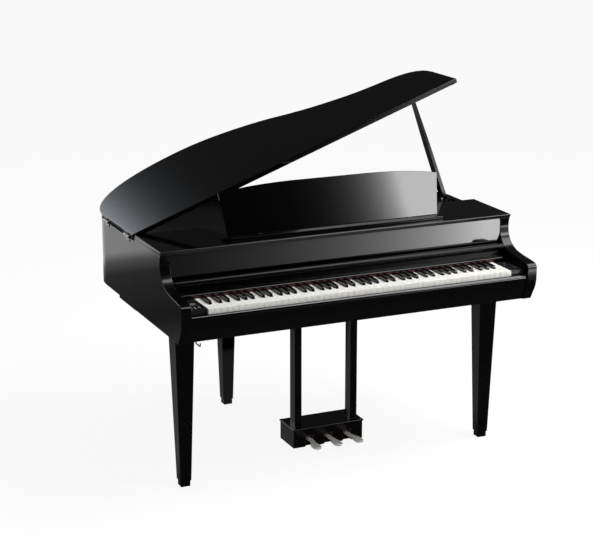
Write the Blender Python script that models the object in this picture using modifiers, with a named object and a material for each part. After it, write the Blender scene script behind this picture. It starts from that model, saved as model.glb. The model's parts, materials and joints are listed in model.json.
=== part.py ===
"""A digital grand piano in black lacquer, with its lid up on the prop and its music rest raised.

Metres, +Z up. Every piece is shaped in the instrument's working frame: X from the middle of the
case, Y backwards from the fronts of the white keys, Z up from the floor. One empty then carries
all of them to their place, so that the middle of the footprint stands on the origin.
"""
import math

import bmesh
import bpy
from mathutils import Matrix, Vector
from mathutils.geometry import interpolate_bezier

# Overall sizes of the case
HALF_WIDTH = 0.715
ARM_FRONT = -0.022
CASE_REAR = 1.125
CASE_BOTTOM = 0.616
REAR_RIM_BOTTOM = 0.626
STEP_Y = 0.658
RIM_TOP = 0.883
RIM_WALL = 0.022
CHEEK_WIDTH = 0.040
GAP = 0.0003

# Fixed board over the keys
BOARD_TOP = 0.908
BOARD_UNDERSIDE = 0.893
BOARD_FRONT = 0.181
BOARD_REAR = 0.465

# Lid, shaped closed and then turned open about its left-hand hinges
LID_UNDERSIDE = 0.889
LID_THICKNESS = 0.019
LID_FRONT = 0.4656
LID_OPEN = math.radians(20.1)
HINGE_X = -0.719
HINGE_Z = 0.887
HINGE_LENGTH = 0.060
HINGE_PLACES = (0.545, 0.790)

# Lid prop, square to the open lid
PROP_X = 0.677
PROP_Y = 0.640
PROP_Z = 0.872
CUP_CEILING = LID_UNDERSIDE - 0.0018
PROP_REACH = (PROP_X - HINGE_X) * math.sin(LID_OPEN) + (HINGE_Z - PROP_Z) * math.cos(LID_OPEN)
PROP_LENGTH = PROP_REACH + CUP_CEILING - HINGE_Z - 0.0005

# Keyboard: 88 keys, from an A to a C
KEYBOARD_X = 0.005
WHITE_KEYS = 52
WHITE_PITCH = 0.0235
WHITE_GAP = 0.0010
KEY_TOP = 0.737
KEY_BOTTOM = 0.716
KEY_HEAD = 0.050
KEY_TAIL = 0.236
SLOT_END = 0.215
STRIP_LOW = 0.7390
STRIP_HIGH = 0.7445
KEY_PIVOT_Y = 0.235
KEY_PIVOT_Z = 0.725
BLACK_HALF = 0.0055
BLACK_TOP = 0.749
BLACK_END = 0.134
NOTCH_HALF = 0.0068
KEYBOARD_LEFT = KEYBOARD_X - WHITE_KEYS * WHITE_PITCH / 2
KEYBOARD_RIGHT = KEYBOARD_X + WHITE_KEYS * WHITE_PITCH / 2

# Music rest
REST_X = 0.005
REST_AXIS_Y = 0.2695
REST_AXIS_Z = 0.9115
REST_LEAN = math.radians(17.4)
REST_STRUT = 0.095

# Key cover: its lip, and a board that slides down a gentle slope on tongues in the cheeks' grooves
COVER_SLOPE = math.atan(0.22)
COVER_FRONT = 0.166
COVER_LOW = 0.7777
COVER_REAR = 0.440
COVER_THICKNESS = 0.008
TONGUE_START = 0.353
GROOVE_START = 0.186
GROOVE_END = 0.448
GROOVE_DEPTH = 0.0060

# Legs and pedals
LEG_X = 0.6285
LEG_Y = 0.218
REAR_LEG = (-0.152, 0.984)
LEG_TOP_SIDE = 0.076
LEG_FOOT_SIDE = 0.0435
FOOT_SIDE = 0.037
FOOT_HEIGHT = 0.022
LYRE_X = 0.005
POST_SPREAD = 0.118
PEDAL_SPREAD = 0.080
PEDAL_SPLAY = 0.009
PEDAL_AXLE_Y = 0.415
PEDAL_AXLE_Z = 0.060
BOX_LEFT = LYRE_X - 0.147
BOX_RIGHT = LYRE_X + 0.147
BOX_FRONT = 0.313
BOX_BACK = 0.441
BOX_LOW = 0.032
BOX_HIGH = 0.1037

# The knuckles of the lid's hinges stand out on the left, so the box's middle is left of the case's
FOOTPRINT_X = -0.00437
FOOTPRINT_Y = (ARM_FRONT + CASE_REAR) / 2

for leftover in list(bpy.data.objects):
    bpy.data.objects.remove(leftover, do_unlink=True)

MODEL = bpy.data.collections.new("digital_grand_piano")
bpy.context.scene.collection.children.link(MODEL)
CUTTERS = bpy.data.collections.new("cutters")
bpy.context.scene.collection.children.link(CUTTERS)
bpy.context.view_layer.active_layer_collection = (
    bpy.context.view_layer.layer_collection.children[MODEL.name])


def material(name, colour, roughness, metallic=0.0):
    """A Principled material in one plain finish."""
    made = bpy.data.materials.new(name)
    made.use_nodes = True
    shader = made.node_tree.nodes["Principled BSDF"]
    shader.inputs["Base Color"].default_value = (*colour, 1.0)
    shader.inputs["Roughness"].default_value = roughness
    shader.inputs["Metallic"].default_value = metallic
    made.diffuse_color = (*colour, 1.0)
    return made


LACQUER = material("black_lacquer", (0.006, 0.006, 0.007), 0.05)
SATIN = material("satin_black_paint", (0.018, 0.018, 0.020), 0.45)
WHITE_KEY = material("white_key_resin", (0.86, 0.85, 0.80), 0.30)
BLACK_KEY = material("black_key_resin", (0.012, 0.012, 0.013), 0.40)
RED_FELT = material("red_felt", (0.25, 0.008, 0.020), 0.95)
NICKEL = material("nickel_plate", (0.66, 0.65, 0.62), 0.18, 1.0)
STEEL = material("zinc_plated_steel", (0.50, 0.50, 0.51), 0.35, 1.0)
PLASTIC = material("black_plastic", (0.020, 0.020, 0.022), 0.40)
CIRCUIT = material("circuit_board", (0.020, 0.120, 0.050), 0.50)
CONE = material("speaker_paper", (0.050, 0.050, 0.055), 0.85)


def empty(name, location, parent=None, turn=0.0):
    """An empty that carries pieces; turn is about Y, in radians."""
    carrier = bpy.data.objects.new(name, None)
    MODEL.objects.link(carrier)
    carrier.location = location
    carrier.rotation_euler.y = turn
    carrier.parent = parent
    carrier.hide_render = True
    return carrier


INSTRUMENT = empty("instrument", (-FOOTPRINT_X, -FOOTPRINT_Y, 0.0))
LID_PIVOT = empty("lid_pivot", (HINGE_X, 0.0, HINGE_Z), INSTRUMENT, -LID_OPEN)


def settle(piece, surface, carrier=INSTRUMENT, origin=(0.0, 0.0, 0.0), smooth=None):
    """Gives a piece its material, its origin at a point of the working frame, and its carrier.

    A piece on the lid's pivot is shaped with the lid closed, and its origin is the hinge's axis.
    """
    piece.data.materials.clear()
    piece.data.materials.append(surface)
    if carrier is LID_PIVOT:
        origin = (HINGE_X, 0.0, HINGE_Z)
    piece.data.transform(Matrix.Translation(-Vector(origin)))
    piece.parent = carrier
    if carrier is not LID_PIVOT:
        piece.location = origin
    if smooth is not None:
        piece.data.shade_smooth()
        piece.data.set_sharp_from_angle(angle=math.radians(smooth))
    return piece


def add_mesh(name, mesh):
    """Links a new object for a mesh."""
    piece = bpy.data.objects.new(name, mesh)
    MODEL.objects.link(piece)
    return piece


def baked(piece, name=None, matrix=Matrix.Identity(4)):
    """Replaces an object by its evaluated mesh, with loose caps welded."""
    bpy.context.view_layer.update()
    graph = bpy.context.evaluated_depsgraph_get()
    mesh = bpy.data.meshes.new_from_object(piece.evaluated_get(graph))
    mesh.transform(matrix @ piece.matrix_world)
    welded = bmesh.new()
    welded.from_mesh(mesh)
    bmesh.ops.remove_doubles(welded, verts=welded.verts, dist=0.00001)
    welded.to_mesh(mesh)
    welded.free()
    name = name or piece.name
    bpy.data.objects.remove(piece, do_unlink=True)
    return add_mesh(name, mesh)


def box(name, low, high, edge=0.0, steps=1):
    """A box from its lowest to its highest corner, with rounded edges."""
    low, high = Vector(low), Vector(high)
    bpy.ops.mesh.primitive_cube_add(size=1.0, location=(low + high) / 2)
    piece = bpy.context.active_object
    piece.name = name
    piece.scale = high - low
    bpy.ops.object.transform_apply(location=True, rotation=False, scale=True)
    if edge:
        bevel = piece.modifiers.new("rounded edges", 'BEVEL')
        bevel.width = edge
        bevel.segments = steps
    return piece


def rod(name, start, end, radius, sides=12):
    """A round rod between two points."""
    start, end = Vector(start), Vector(end)
    bpy.ops.mesh.primitive_cylinder_add(vertices=sides, radius=radius, depth=(end - start).length)
    piece = bpy.context.active_object
    piece.name = name
    turn = (end - start).to_track_quat('Z', 'Y').to_matrix().to_4x4()
    piece.data.transform(Matrix.Translation((start + end) / 2) @ turn)
    return piece


IN_PLAN = Matrix.Identity(4)
SIDEWAYS = Matrix(((0, 0, 1, 0), (1, 0, 0, 0), (0, 1, 0, 0), (0, 0, 0, 1)))
FRONTWAYS = Matrix(((1, 0, 0, 0), (0, 0, -1, 0), (0, 1, 0, 0), (0, 0, 0, 1)))


def slab(name, outlines, low, high, plane=IN_PLAN, edge=0.0, steps=1):
    """Flat outlines made solid between two heights along the plane's normal.

    IN_PLAN reads points as (x, y), SIDEWAYS as (y, z) and FRONTWAYS as (x, z).
    """
    shape = bpy.data.curves.new(name, 'CURVE')
    shape.dimensions = '2D'
    shape.fill_mode = 'BOTH'
    shape.extrude = (high - low) / 2 - edge
    shape.bevel_depth = edge
    shape.bevel_resolution = steps
    shape.offset = -edge
    for outline in outlines:
        spline = shape.splines.new('POLY')
        spline.points.add(len(outline) - 1)
        for point, (across, along) in zip(spline.points, outline):
            point.co = (across, along, 0.0, 1.0)
        spline.use_cyclic_u = True
    piece = bpy.data.objects.new(name, shape)
    MODEL.objects.link(piece)
    middle = (low + high) / 2
    if plane is FRONTWAYS:
        middle = -middle
    return baked(piece, matrix=plane @ Matrix.Translation((0.0, 0.0, middle)))


def arc(centre, radius, start, end, steps):
    """Points along an arc; the angles are in degrees."""
    points = []
    for index in range(steps + 1):
        angle = math.radians(start + (end - start) * index / steps)
        points.append((centre[0] + radius * math.cos(angle), centre[1] + radius * math.sin(angle)))
    return points


def bezier(start, start_handle, end_handle, end, steps):
    """Points along one cubic curve, without its last one."""
    corners = [Vector((*point, 0.0)) for point in (start, start_handle, end_handle, end)]
    return [(point.x, point.y) for point in interpolate_bezier(*corners, steps + 1)][:-1]


def apply_boolean(piece, tool, operation):
    """Adds a Boolean, and puts its tool away as a hidden wire shape."""
    change = piece.modifiers.new(operation.lower(), 'BOOLEAN')
    change.operation = operation
    change.solver = 'EXACT'
    change.object = tool
    for collection in list(tool.users_collection):
        collection.objects.unlink(tool)
    CUTTERS.objects.link(tool)
    tool.hide_render = True
    tool.display_type = 'WIRE'
    return piece


def cut(piece, tool):
    """Takes the tool's shape out of a piece, both still in the working frame."""
    return baked(apply_boolean(piece, tool, 'DIFFERENCE'))


def fused(piece, tool):
    """Joins the tool's shape to a piece, both still in the working frame."""
    return baked(apply_boolean(piece, tool, 'UNION'))


def turned(name, profile, steps, centre):
    """A turned piece: a profile of (radius, height) points swept round a vertical axis."""
    mesh = bpy.data.meshes.new(name)
    mesh.from_pydata([(radius, 0.0, height) for radius, height in profile],
                     [(index, index + 1) for index in range(len(profile) - 1)], [])
    piece = add_mesh(name, mesh)
    sweep = piece.modifiers.new("turning", 'SCREW')
    sweep.axis = 'Z'
    sweep.steps = steps
    sweep.render_steps = steps
    sweep.use_merge_vertices = True
    sweep.merge_threshold = 0.0001
    return baked(piece, matrix=Matrix.Translation((*centre, 0.0)))


# The plan of the rim: straight left side, round tail, S-shaped bent side, straight right side
TAIL_START = (-HALF_WIDTH, 0.815)
TAIL_TOP = (-0.242, CASE_REAR)
BEND = (0.149, 0.981)
WAIST = (0.484, 0.823)
SIDE_END = (HALF_WIDTH, STEP_Y + 0.0005)
BEND_SLOPE = Vector((1.0, -0.78)).normalized()
WAIST_SLOPE = Vector((1.0, -0.21)).normalized()


def shifted(point, direction, distance):
    """A 2-D point moved along a direction."""
    return (point[0] + direction[0] * distance, point[1] + direction[1] * distance)


def rim_plan():
    """The rim's outer line, from the left side's curve start to the right side's."""
    left, up = Vector((-1.0, 0.0)), Vector((0.0, 1.0))
    line = bezier(TAIL_START, shifted(TAIL_START, up, 0.184), shifted(TAIL_TOP, left, 0.288), TAIL_TOP, 18)
    line += bezier(TAIL_TOP, shifted(TAIL_TOP, left, -0.136), shifted(BEND, BEND_SLOPE, -0.109), BEND, 10)
    line += bezier(BEND, shifted(BEND, BEND_SLOPE, 0.126), shifted(WAIST, WAIST_SLOPE, -0.092), WAIST, 8)
    line += bezier(WAIST, shifted(WAIST, WAIST_SLOPE, 0.095), shifted(SIDE_END, up, 0.152), SIDE_END, 12)
    return line + [SIDE_END]


def inset(line, distance):
    """A line moved to its right-hand side, which is the inside of the rim."""
    moved = []
    for index, point in enumerate(line):
        before = Vector(line[max(index - 1, 0)])
        after = Vector(line[min(index + 1, len(line) - 1)])
        along = (after - before).normalized()
        moved.append((point[0] + along.y * distance, point[1] - along.x * distance))
    return moved


def inside_plan():
    """The line just inside the rim's wall, ending square on the straight right side."""
    clear = RIM_WALL + 0.0005
    return inset(rim_plan(), clear)[:-1] + [(HALF_WIDTH - clear, SIDE_END[1])]


def rim():
    """The bent wall, 22 mm thick, lower under the sides than round the tail."""
    step = 0.0004
    side = [(-HALF_WIDTH, BOARD_REAR + GAP, CASE_BOTTOM), (-HALF_WIDTH, STEP_Y, CASE_BOTTOM)]
    line = side + [(-HALF_WIDTH, STEP_Y + step, REAR_RIM_BOTTOM)]
    line += [(x, y, REAR_RIM_BOTTOM) for x, y in rim_plan()]
    line += [(HALF_WIDTH, STEP_Y, CASE_BOTTOM), (HALF_WIDTH, BOARD_REAR + GAP, CASE_BOTTOM)]
    skin = bmesh.new()
    columns = [(skin.verts.new((x, y, low)), skin.verts.new((x, y, RIM_TOP))) for x, y, low in line]
    for (low_a, high_a), (low_b, high_b) in zip(columns, columns[1:]):
        skin.faces.new((low_a, high_a, high_b, low_b))
    mesh = bpy.data.meshes.new("rim")
    skin.to_mesh(mesh)
    skin.free()
    piece = add_mesh("rim", mesh)
    wall = piece.modifiers.new("wall", 'SOLIDIFY')
    wall.thickness = RIM_WALL
    wall.offset = -1.0
    wall.use_even_offset = True
    settle(baked(piece), LACQUER, smooth=30)


def cheek_profile():
    """The side view of an arm: tapered front, round nose, S-curve up to the fixed board."""
    nose_low, nose_high = (ARM_FRONT, 0.700), (ARM_FRONT, 0.740)
    line = bezier((0.014, CASE_BOTTOM), (0.002, 0.644), (ARM_FRONT, 0.670), nose_low, 4)
    line += [nose_low]
    line += bezier(nose_high, (ARM_FRONT, 0.753), (-0.014, 0.7615), (0.002, 0.763), 4)
    line += bezier((0.002, 0.763), (0.040, 0.767), (0.080, 0.770), (0.112, 0.776), 3)
    line += bezier((0.112, 0.776), (0.156, 0.785), (0.184, 0.808), (0.1905, 0.842), 8)
    line += bezier((0.1905, 0.842), (0.194, 0.860), (0.192, 0.878), (0.185, BOARD_UNDERSIDE - GAP), 4)
    line += [(0.185, BOARD_UNDERSIDE - GAP), (BOARD_REAR + 0.004, BOARD_UNDERSIDE - GAP),
             (BOARD_REAR + 0.004, CASE_BOTTOM)]
    return line[::-1]


def cover_edge(start, end, margin):
    """The side view of the cover's sloping board between two places, a margin larger above and below."""
    rise = math.tan(COVER_SLOPE)
    low_start = COVER_LOW + rise * (start - COVER_FRONT) - margin
    low_end = COVER_LOW + rise * (end - COVER_FRONT) - margin
    height = COVER_THICKNESS + 2 * margin
    return [(start, low_start), (end, low_end), (end, low_end + height), (start, low_start + height)]


def cheeks():
    """The two side boards of the front, 40 mm thick, each with the groove that carries the key cover.

    Their edges are eased, apart from the rear one, which meets the rim flush.
    """
    inner = HALF_WIDTH - CHEEK_WIDTH
    for name, side in (("cheek_left", -1), ("cheek_right", 1)):
        low, high = sorted((side * inner, side * HALF_WIDTH))
        board = slab(name, [cheek_profile()], low, high, SIDEWAYS, edge=0.0015, steps=0)
        board = cut(board, box(name + "_end", (low - 0.010, BOARD_REAR, CASE_BOTTOM - 0.010),
                               (high + 0.010, BOARD_REAR + 0.010, BOARD_TOP)))
        low, high = sorted((side * (inner - 0.002), side * (inner + GROOVE_DEPTH)))
        groove = slab(name + "_groove", [cover_edge(GROOVE_START, GROOVE_END, 0.0008)], low, high, SIDEWAYS)
        settle(cut(board, groove), LACQUER, smooth=30)


def bottom_boards():
    """The key bed between the cheeks, and the board that closes the tail from below."""
    inner = HALF_WIDTH - CHEEK_WIDTH - 0.0005
    outer = HALF_WIDTH - RIM_WALL - 0.0005
    step = BOARD_REAR + 0.0008
    half = [(inner, 0.036), (inner, step), (outer, step), (outer, STEP_Y - GAP)]
    bed = half + [(-x, y) for x, y in reversed(half)]
    settle(slab("key_bed", [bed], CASE_BOTTOM, 0.640), SATIN)
    tail = [(-outer, SIDE_END[1])] + inside_plan()
    board = slab("rear_bottom_board", [tail[::-1]], 0.630, 0.645)
    for number, (x, y) in enumerate(WOOFERS):
        board = cut(board, rod(f"woofer_hole_{number}", (x, y, 0.620), (x, y, 0.660), 0.074, 20))
    settle(board, SATIN)


WOOFERS = ((-0.400, 0.830), (0.230, 0.770))


def woofers():
    """Two cone loudspeakers that play down through the tail board."""
    profile = [(0.0, 0.722), (0.046, 0.722), (0.046, 0.700), (0.078, 0.660), (0.089, 0.652),
               (0.089, 0.6453), (0.071, 0.6453), (0.024, 0.668), (0.0, 0.672)]
    for name, place in zip(("woofer_left", "woofer_right"), WOOFERS):
        settle(turned(name, profile, 14, place), CONE, smooth=40)


DECK_TOP = 0.846


def inner_deck():
    """The panel inside the rim under the lid, with an upstand that closes the space under the board."""
    inner = HALF_WIDTH - CHEEK_WIDTH - 0.0005
    outer = HALF_WIDTH - RIM_WALL - 0.0005
    front, step = 0.452, BOARD_REAR + 0.0008
    outline = [(-inner, front), (-inner, step), (-outer, step + GAP)]
    outline += inside_plan()
    outline += [(outer, step + GAP), (inner, step), (inner, front)]
    deck = slab("inner_deck", [outline[::-1]], DECK_TOP - 0.008, DECK_TOP)
    upstand = box("upstand", (0.001 - inner, front + 0.001, DECK_TOP - 0.004),
                  (inner - 0.001, front + 0.0115, BOARD_UNDERSIDE - GAP))
    settle(fused(deck, upstand), SATIN)


def top_board():
    """The fixed board over the keys, which carries the music rest; its front edge is cut back below."""
    nose = 0.0025
    profile = arc((BOARD_FRONT + nose, BOARD_TOP - nose), nose, 200, 90, 4)
    profile += [(BOARD_REAR, BOARD_TOP), (BOARD_REAR, BOARD_UNDERSIDE), (BOARD_FRONT + 0.0055, BOARD_UNDERSIDE)]
    settle(slab("top_board", [profile[::-1]], -HALF_WIDTH, HALF_WIDTH, SIDEWAYS), LACQUER, smooth=30)


def front_panel():
    """The upright panel under the fixed board, left bare."""
    inner = HALF_WIDTH - CHEEK_WIDTH - 0.0005
    settle(box("front_panel", (-inner, 0.192, 0.804), (inner, 0.204, BOARD_UNDERSIDE - GAP)), LACQUER)


def key_rail():
    """The rail that covers the backs of the keys, and the red felt on its front."""
    inner = HALF_WIDTH - CHEEK_WIDTH - 0.0005
    profile = [(0.138, 0.7415), (0.184, 0.7415), (0.184, 0.7725), (0.170, 0.7710), (0.166, 0.7535),
               (0.1405, 0.7525), (0.138, 0.7505)]
    settle(slab("key_rail", [profile], -inner, inner, SIDEWAYS), LACQUER)
    settle(box("key_felt", (KEYBOARD_LEFT, 0.1363, 0.7395), (KEYBOARD_RIGHT, 0.1377, 0.7465)), RED_FELT)


def key_slip():
    """The slip in front of the keys: round top edge, face that tapers back like the arms."""
    inner = HALF_WIDTH - CHEEK_WIDTH - 0.0005
    face = bezier((0.021, CASE_BOTTOM), (0.009, 0.644), (-0.015, 0.670), (-0.015, 0.700), 4)
    profile = face + [(-0.015, 0.700)] + arc((-0.0045, 0.7075), 0.0105, 180, 90, 5)
    profile += [(-0.0028, 0.718), (-0.0028, 0.690), (0.0355, 0.640), (0.0355, CASE_BOTTOM)]
    settle(slab("key_slip", [profile[::-1]], -inner, inner, SIDEWAYS), LACQUER, smooth=30)


def key_cover():
    """The sliding key cover: a thin board behind a round lip, with a tongue at each end of its rear."""
    edge = cover_edge(COVER_FRONT, COVER_REAR, 0.0)
    upper_front = (0.188, edge[3][1] + math.tan(COVER_SLOPE) * (0.188 - COVER_FRONT))
    lip = arc((0.163, 0.788), 0.013, 90, 270, 8)
    profile = [edge[2], upper_front, (0.180, 0.8000), (0.172, 0.8010)] + lip + [edge[0], edge[1]]
    half = HALF_WIDTH - CHEEK_WIDTH - 0.002
    cover = slab("key_cover", [profile], -half, half, SIDEWAYS)
    reach = HALF_WIDTH - CHEEK_WIDTH + GROOVE_DEPTH - 0.0008
    tongues = slab("cover_tongues", [cover_edge(TONGUE_START, COVER_REAR - 0.001, -0.0002)], -reach, reach, SIDEWAYS)
    settle(fused(cover, tongues), LACQUER, origin=(0.0, 0.163, 0.788), smooth=30)


BUTTON_PLACES = {"button_voice": (-0.652, 0.106), "button_song": (-0.630, 0.106)}
POWER_PLACE = (0.646, 0.106)
SLIDER_X = 0.646
SLIDER_Y = 0.056
BLOCK_TOP = 0.736


def key_blocks():
    """The two blocks that fill the keyboard's ends, with wells for the buttons and the slider."""
    inner = HALF_WIDTH - CHEEK_WIDTH - 0.0005
    front, back = 0.009, 0.1358
    profile = [(0.0370, 0.6405), (back, 0.6405), (back, BLOCK_TOP), (front, BLOCK_TOP), (front, 0.690)]
    left = slab("key_block_left", [profile], -inner, KEYBOARD_LEFT - 0.0012, SIDEWAYS, edge=0.001, steps=0)
    for name, (x, y) in BUTTON_PLACES.items():
        left = cut(left, rod(name + "_well", (x, y, 0.7300), (x, y, 0.7500), 0.0052, 12))
    settle(left, SATIN)
    right = slab("key_block_right", [profile], KEYBOARD_RIGHT + 0.0012, inner, SIDEWAYS, edge=0.001, steps=0)
    x, y = POWER_PLACE
    right = cut(right, rod("power_well", (x, y, 0.7300), (x, y, 0.7500), 0.0067, 12))
    settle(cut(right, box("slider_slot", (SLIDER_X - 0.0020, SLIDER_Y - 0.022, 0.7280),
                          (SLIDER_X + 0.0020, SLIDER_Y + 0.022, 0.7500))), SATIN)


def controls():
    """Two round buttons on the left block, the power button and the volume slider on the right one."""
    for name, (x, y) in BUTTON_PLACES.items():
        settle(rod(name, (x, y, 0.7318), (x, y, 0.7385), 0.0047, 16), PLASTIC, origin=(x, y, BLOCK_TOP), smooth=40)
    x, y = POWER_PLACE
    settle(rod("power_button", (x, y, 0.7318), (x, y, 0.7385), 0.0062, 16), PLASTIC, origin=(x, y, BLOCK_TOP),
           smooth=40)
    profile = [(-0.0015, 0.7300), (0.0015, 0.7300), (0.0015, 0.7368), (0.0060, 0.7368), (0.0048, 0.7430),
               (-0.0048, 0.7430), (-0.0060, 0.7368), (-0.0015, 0.7368)]
    profile = [(SLIDER_X + x, z) for x, z in profile]
    settle(slab("volume_slider", [profile], SLIDER_Y - 0.004, SLIDER_Y + 0.004, FRONTWAYS), PLASTIC,
           origin=(SLIDER_X, SLIDER_Y, BLOCK_TOP))


def key_frame():
    """The steel tray under the keys, with its front rail and the rail of the key pivots."""
    profile = [(0.037, 0.6405), (0.330, 0.6405), (0.330, 0.690), (0.322, 0.690), (0.322, 0.645), (0.244, 0.645),
               (0.244, 0.7145), (0.228, 0.7145), (0.228, 0.645), (0.041, 0.645), (0.041, 0.700), (0.012, 0.700),
               (0.012, 0.690)]
    settle(slab("key_frame", [profile], KEYBOARD_LEFT, KEYBOARD_RIGHT, SIDEWAYS), STEEL)


# The keyboard starts on A; a black key stands at a boundary of two white ones, moved by an offset
WHITE_NOTES = ("a", "b", "c", "d", "e", "f", "g")
BLACK_OFFSETS = {"c": -0.0033, "d": 0.0033, "f": -0.0045, "g": 0.0, "a": 0.0045}
OCTAVES = ((0, 8), (9, 15), (16, 22), (23, 29), (30, 36), (37, 43), (44, 51))


def black_centres():
    """The X of each black key, by the number of the white key on its left."""
    centres = {}
    for number in range(WHITE_KEYS - 1):
        note = WHITE_NOTES[number % 7]
        if note in BLACK_OFFSETS:
            centres[number] = KEYBOARD_LEFT + (number + 1) * WHITE_PITCH + BLACK_OFFSETS[note]
    return centres


BLACKS = black_centres()


def white_comb(first, last):
    """The plan of a row of white keys on their common rear strip, cut back beside the black keys."""
    outline = []
    for number in range(first, last + 1):
        left = KEYBOARD_LEFT + number * WHITE_PITCH + WHITE_GAP / 2
        right = left + WHITE_PITCH - WHITE_GAP
        tail_left = BLACKS[number - 1] + NOTCH_HALF if number - 1 in BLACKS else left
        tail_right = BLACKS[number] - NOTCH_HALF if number in BLACKS else right
        if number > first:
            outline += [(tail_left, SLOT_END)]
        if tail_left > left:
            outline += [(tail_left, KEY_HEAD), (left, KEY_HEAD)]
        outline += [(left, 0.0), (right, 0.0)]
        if tail_right < right:
            outline += [(right, KEY_HEAD), (tail_right, KEY_HEAD)]
        if number < last:
            outline += [(tail_right, SLOT_END)]
    return outline + [(outline[-1][0], KEY_TAIL), (outline[0][0], KEY_TAIL)]


def black_key(name, centre):
    """One black key: a cap with a sloped front and drawn-in sides, and a tail that rises to the strip."""
    profile = [(KEY_HEAD + 0.001, 0.7180), (SLOT_END - 0.0015, 0.7180), (SLOT_END - 0.0015, STRIP_LOW),
               (KEY_TAIL - 0.001, STRIP_LOW), (KEY_TAIL - 0.001, STRIP_HIGH), (0.190, STRIP_HIGH), (0.190, 0.7360),
               (BLACK_END, 0.7360), (BLACK_END, BLACK_TOP - 0.001), (BLACK_END - 0.001, BLACK_TOP),
               (KEY_HEAD + 0.009, BLACK_TOP), (KEY_HEAD + 0.0055, BLACK_TOP - 0.0015), (KEY_HEAD + 0.001, 0.7370)]
    key = slab(name, [profile], -BLACK_HALF, BLACK_HALF, SIDEWAYS)
    for point in key.data.vertices:
        if point.co.z > STRIP_HIGH + 0.0005:
            point.co.x *= 0.84
    key.data.transform(Matrix.Translation((centre, 0.0, 0.0)))
    return key


def keys():
    """The 88 keys: each octave's white keys are one comb, and its black keys another above it."""
    pivot = (KEYBOARD_X, KEY_PIVOT_Y, KEY_PIVOT_Z)
    for octave, (first, last) in enumerate(OCTAVES, start=1):
        comb = slab(f"keys_white_{octave}", [white_comb(first, last)], KEY_BOTTOM, KEY_TOP)
        settle(comb, WHITE_KEY, origin=pivot)
        places = [BLACKS[number] for number in range(first, last + 1) if number in BLACKS]
        start = KEYBOARD_LEFT + first * WHITE_PITCH + 0.001
        end = KEYBOARD_LEFT + (last + 1) * WHITE_PITCH - 0.001
        comb = box(f"keys_black_{octave}", (start, KEY_TAIL - 0.020, STRIP_LOW), (end, KEY_TAIL, STRIP_HIGH))
        for place in places:
            comb = fused(comb, black_key("black_key", place))
        settle(comb, BLACK_KEY, origin=pivot)


def rest_frame():
    """The matrix from the music rest's own frame (x, up its face, backwards) to the working frame."""
    up = Vector((0.0, math.sin(REST_LEAN), math.cos(REST_LEAN)))
    back = Vector((0.0, math.cos(REST_LEAN), -math.sin(REST_LEAN)))
    columns = (Vector((1.0, 0.0, 0.0)), up, -back)
    frame = Matrix.Identity(4)
    for column, axis in enumerate(columns):
        for row in range(3):
            frame[row][column] = axis[row]
    return Matrix.Translation((REST_X, REST_AXIS_Y, REST_AXIS_Z)) @ frame


REST_HINGES = (-0.300, 0.300)
REST_LUGS = (-0.240, 0.240)
REST_REAR = 0.004
REST_THICKNESS = 0.010
KNUCKLE = 0.0032
ROD = 0.0015


def knuckle(x, up, half):
    """A round eye behind the rest, with the tab that carries it, in the rest's own frame."""
    tab = box("tab", (x - half, up - 0.0025, 0.0), (x + half, up + 0.0050, REST_REAR + 0.002))
    return fused(tab, rod("eye", (x - half, up, 0.0), (x + half, up, 0.0), KNUCKLE, 12))


def music_rest():
    """The arched panel with the eyes of its hinge and the lugs for its bail."""
    low, corner, crown = 0.003, 0.163, 0.186
    outline = [(-0.430, low), (0.430, low)]
    outline += bezier((0.450, corner), (0.300, crown + 0.004), (0.120, crown), (0.0, crown), 8)
    outline += bezier((0.0, crown), (-0.120, crown), (-0.300, crown + 0.004), (-0.450, corner), 8)
    outline += [(-0.450, corner)]
    rest = slab("music_rest", [outline], REST_REAR, REST_REAR + REST_THICKNESS, edge=0.0012, steps=0)
    for x in REST_HINGES:
        rest = fused(rest, knuckle(x - 0.0160, 0.0, 0.0050))
        rest = fused(rest, knuckle(x + 0.0160, 0.0, 0.0050))
    for x in REST_LUGS:
        rest = fused(rest, knuckle(x, REST_STRUT, 0.0035))
    for up in (0.0, REST_STRUT):
        rest = cut(rest, rod("bore", (-0.35, up, 0.0), (0.35, up, 0.0), ROD + 0.0004, 10))
    rest.data.transform(rest_frame())
    settle(rest, LACQUER, origin=(REST_X, REST_AXIS_Y, REST_AXIS_Z), smooth=30)


def wire(name, points, radius):
    """A bent wire with closed ends."""
    shape = bpy.data.curves.new(name, 'CURVE')
    shape.dimensions = '3D'
    shape.bevel_depth = radius
    shape.bevel_resolution = 2
    shape.use_fill_caps = True
    spline = shape.splines.new('POLY')
    spline.points.add(len(points) - 1)
    for point, place in zip(spline.points, points):
        point.co = (*place, 1.0)
    bent = bpy.data.objects.new(name, shape)
    MODEL.objects.link(bent)
    return baked(bent)


def rest_bail():
    """The wire bail behind the rest: as long as its pivot's height up the rest, so its foot slides level."""
    knee = Vector((REST_AXIS_Y + REST_STRUT * math.sin(REST_LEAN), REST_AXIS_Z + REST_STRUT * math.cos(REST_LEAN)))
    foot = Vector((REST_AXIS_Y + 2 * REST_STRUT * math.sin(REST_LEAN), REST_AXIS_Z))
    bend = (foot - knee).normalized() * 0.004
    inside, outside = REST_LUGS[1] - 0.010, REST_LUGS[1] + 0.007
    half = [(outside, *knee), (inside + 0.004, *knee), (inside + 0.0012, *(knee + bend * 0.3)),
            (inside, *(knee + bend)), (inside, *foot)]
    right = [(REST_X + x, y, z) for x, y, z in half]
    left = [(REST_X - x, y, z) for x, y, z in half]
    bail = fused(wire("rest_bail", right, ROD), wire("bail_left", left, ROD))
    bail = fused(bail, rod("bail_foot", (REST_X - inside - 0.004, *foot), (REST_X + inside + 0.004, *foot), 0.0030))
    settle(bail, STEEL, origin=(REST_X, *knee), smooth=40)


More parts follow.
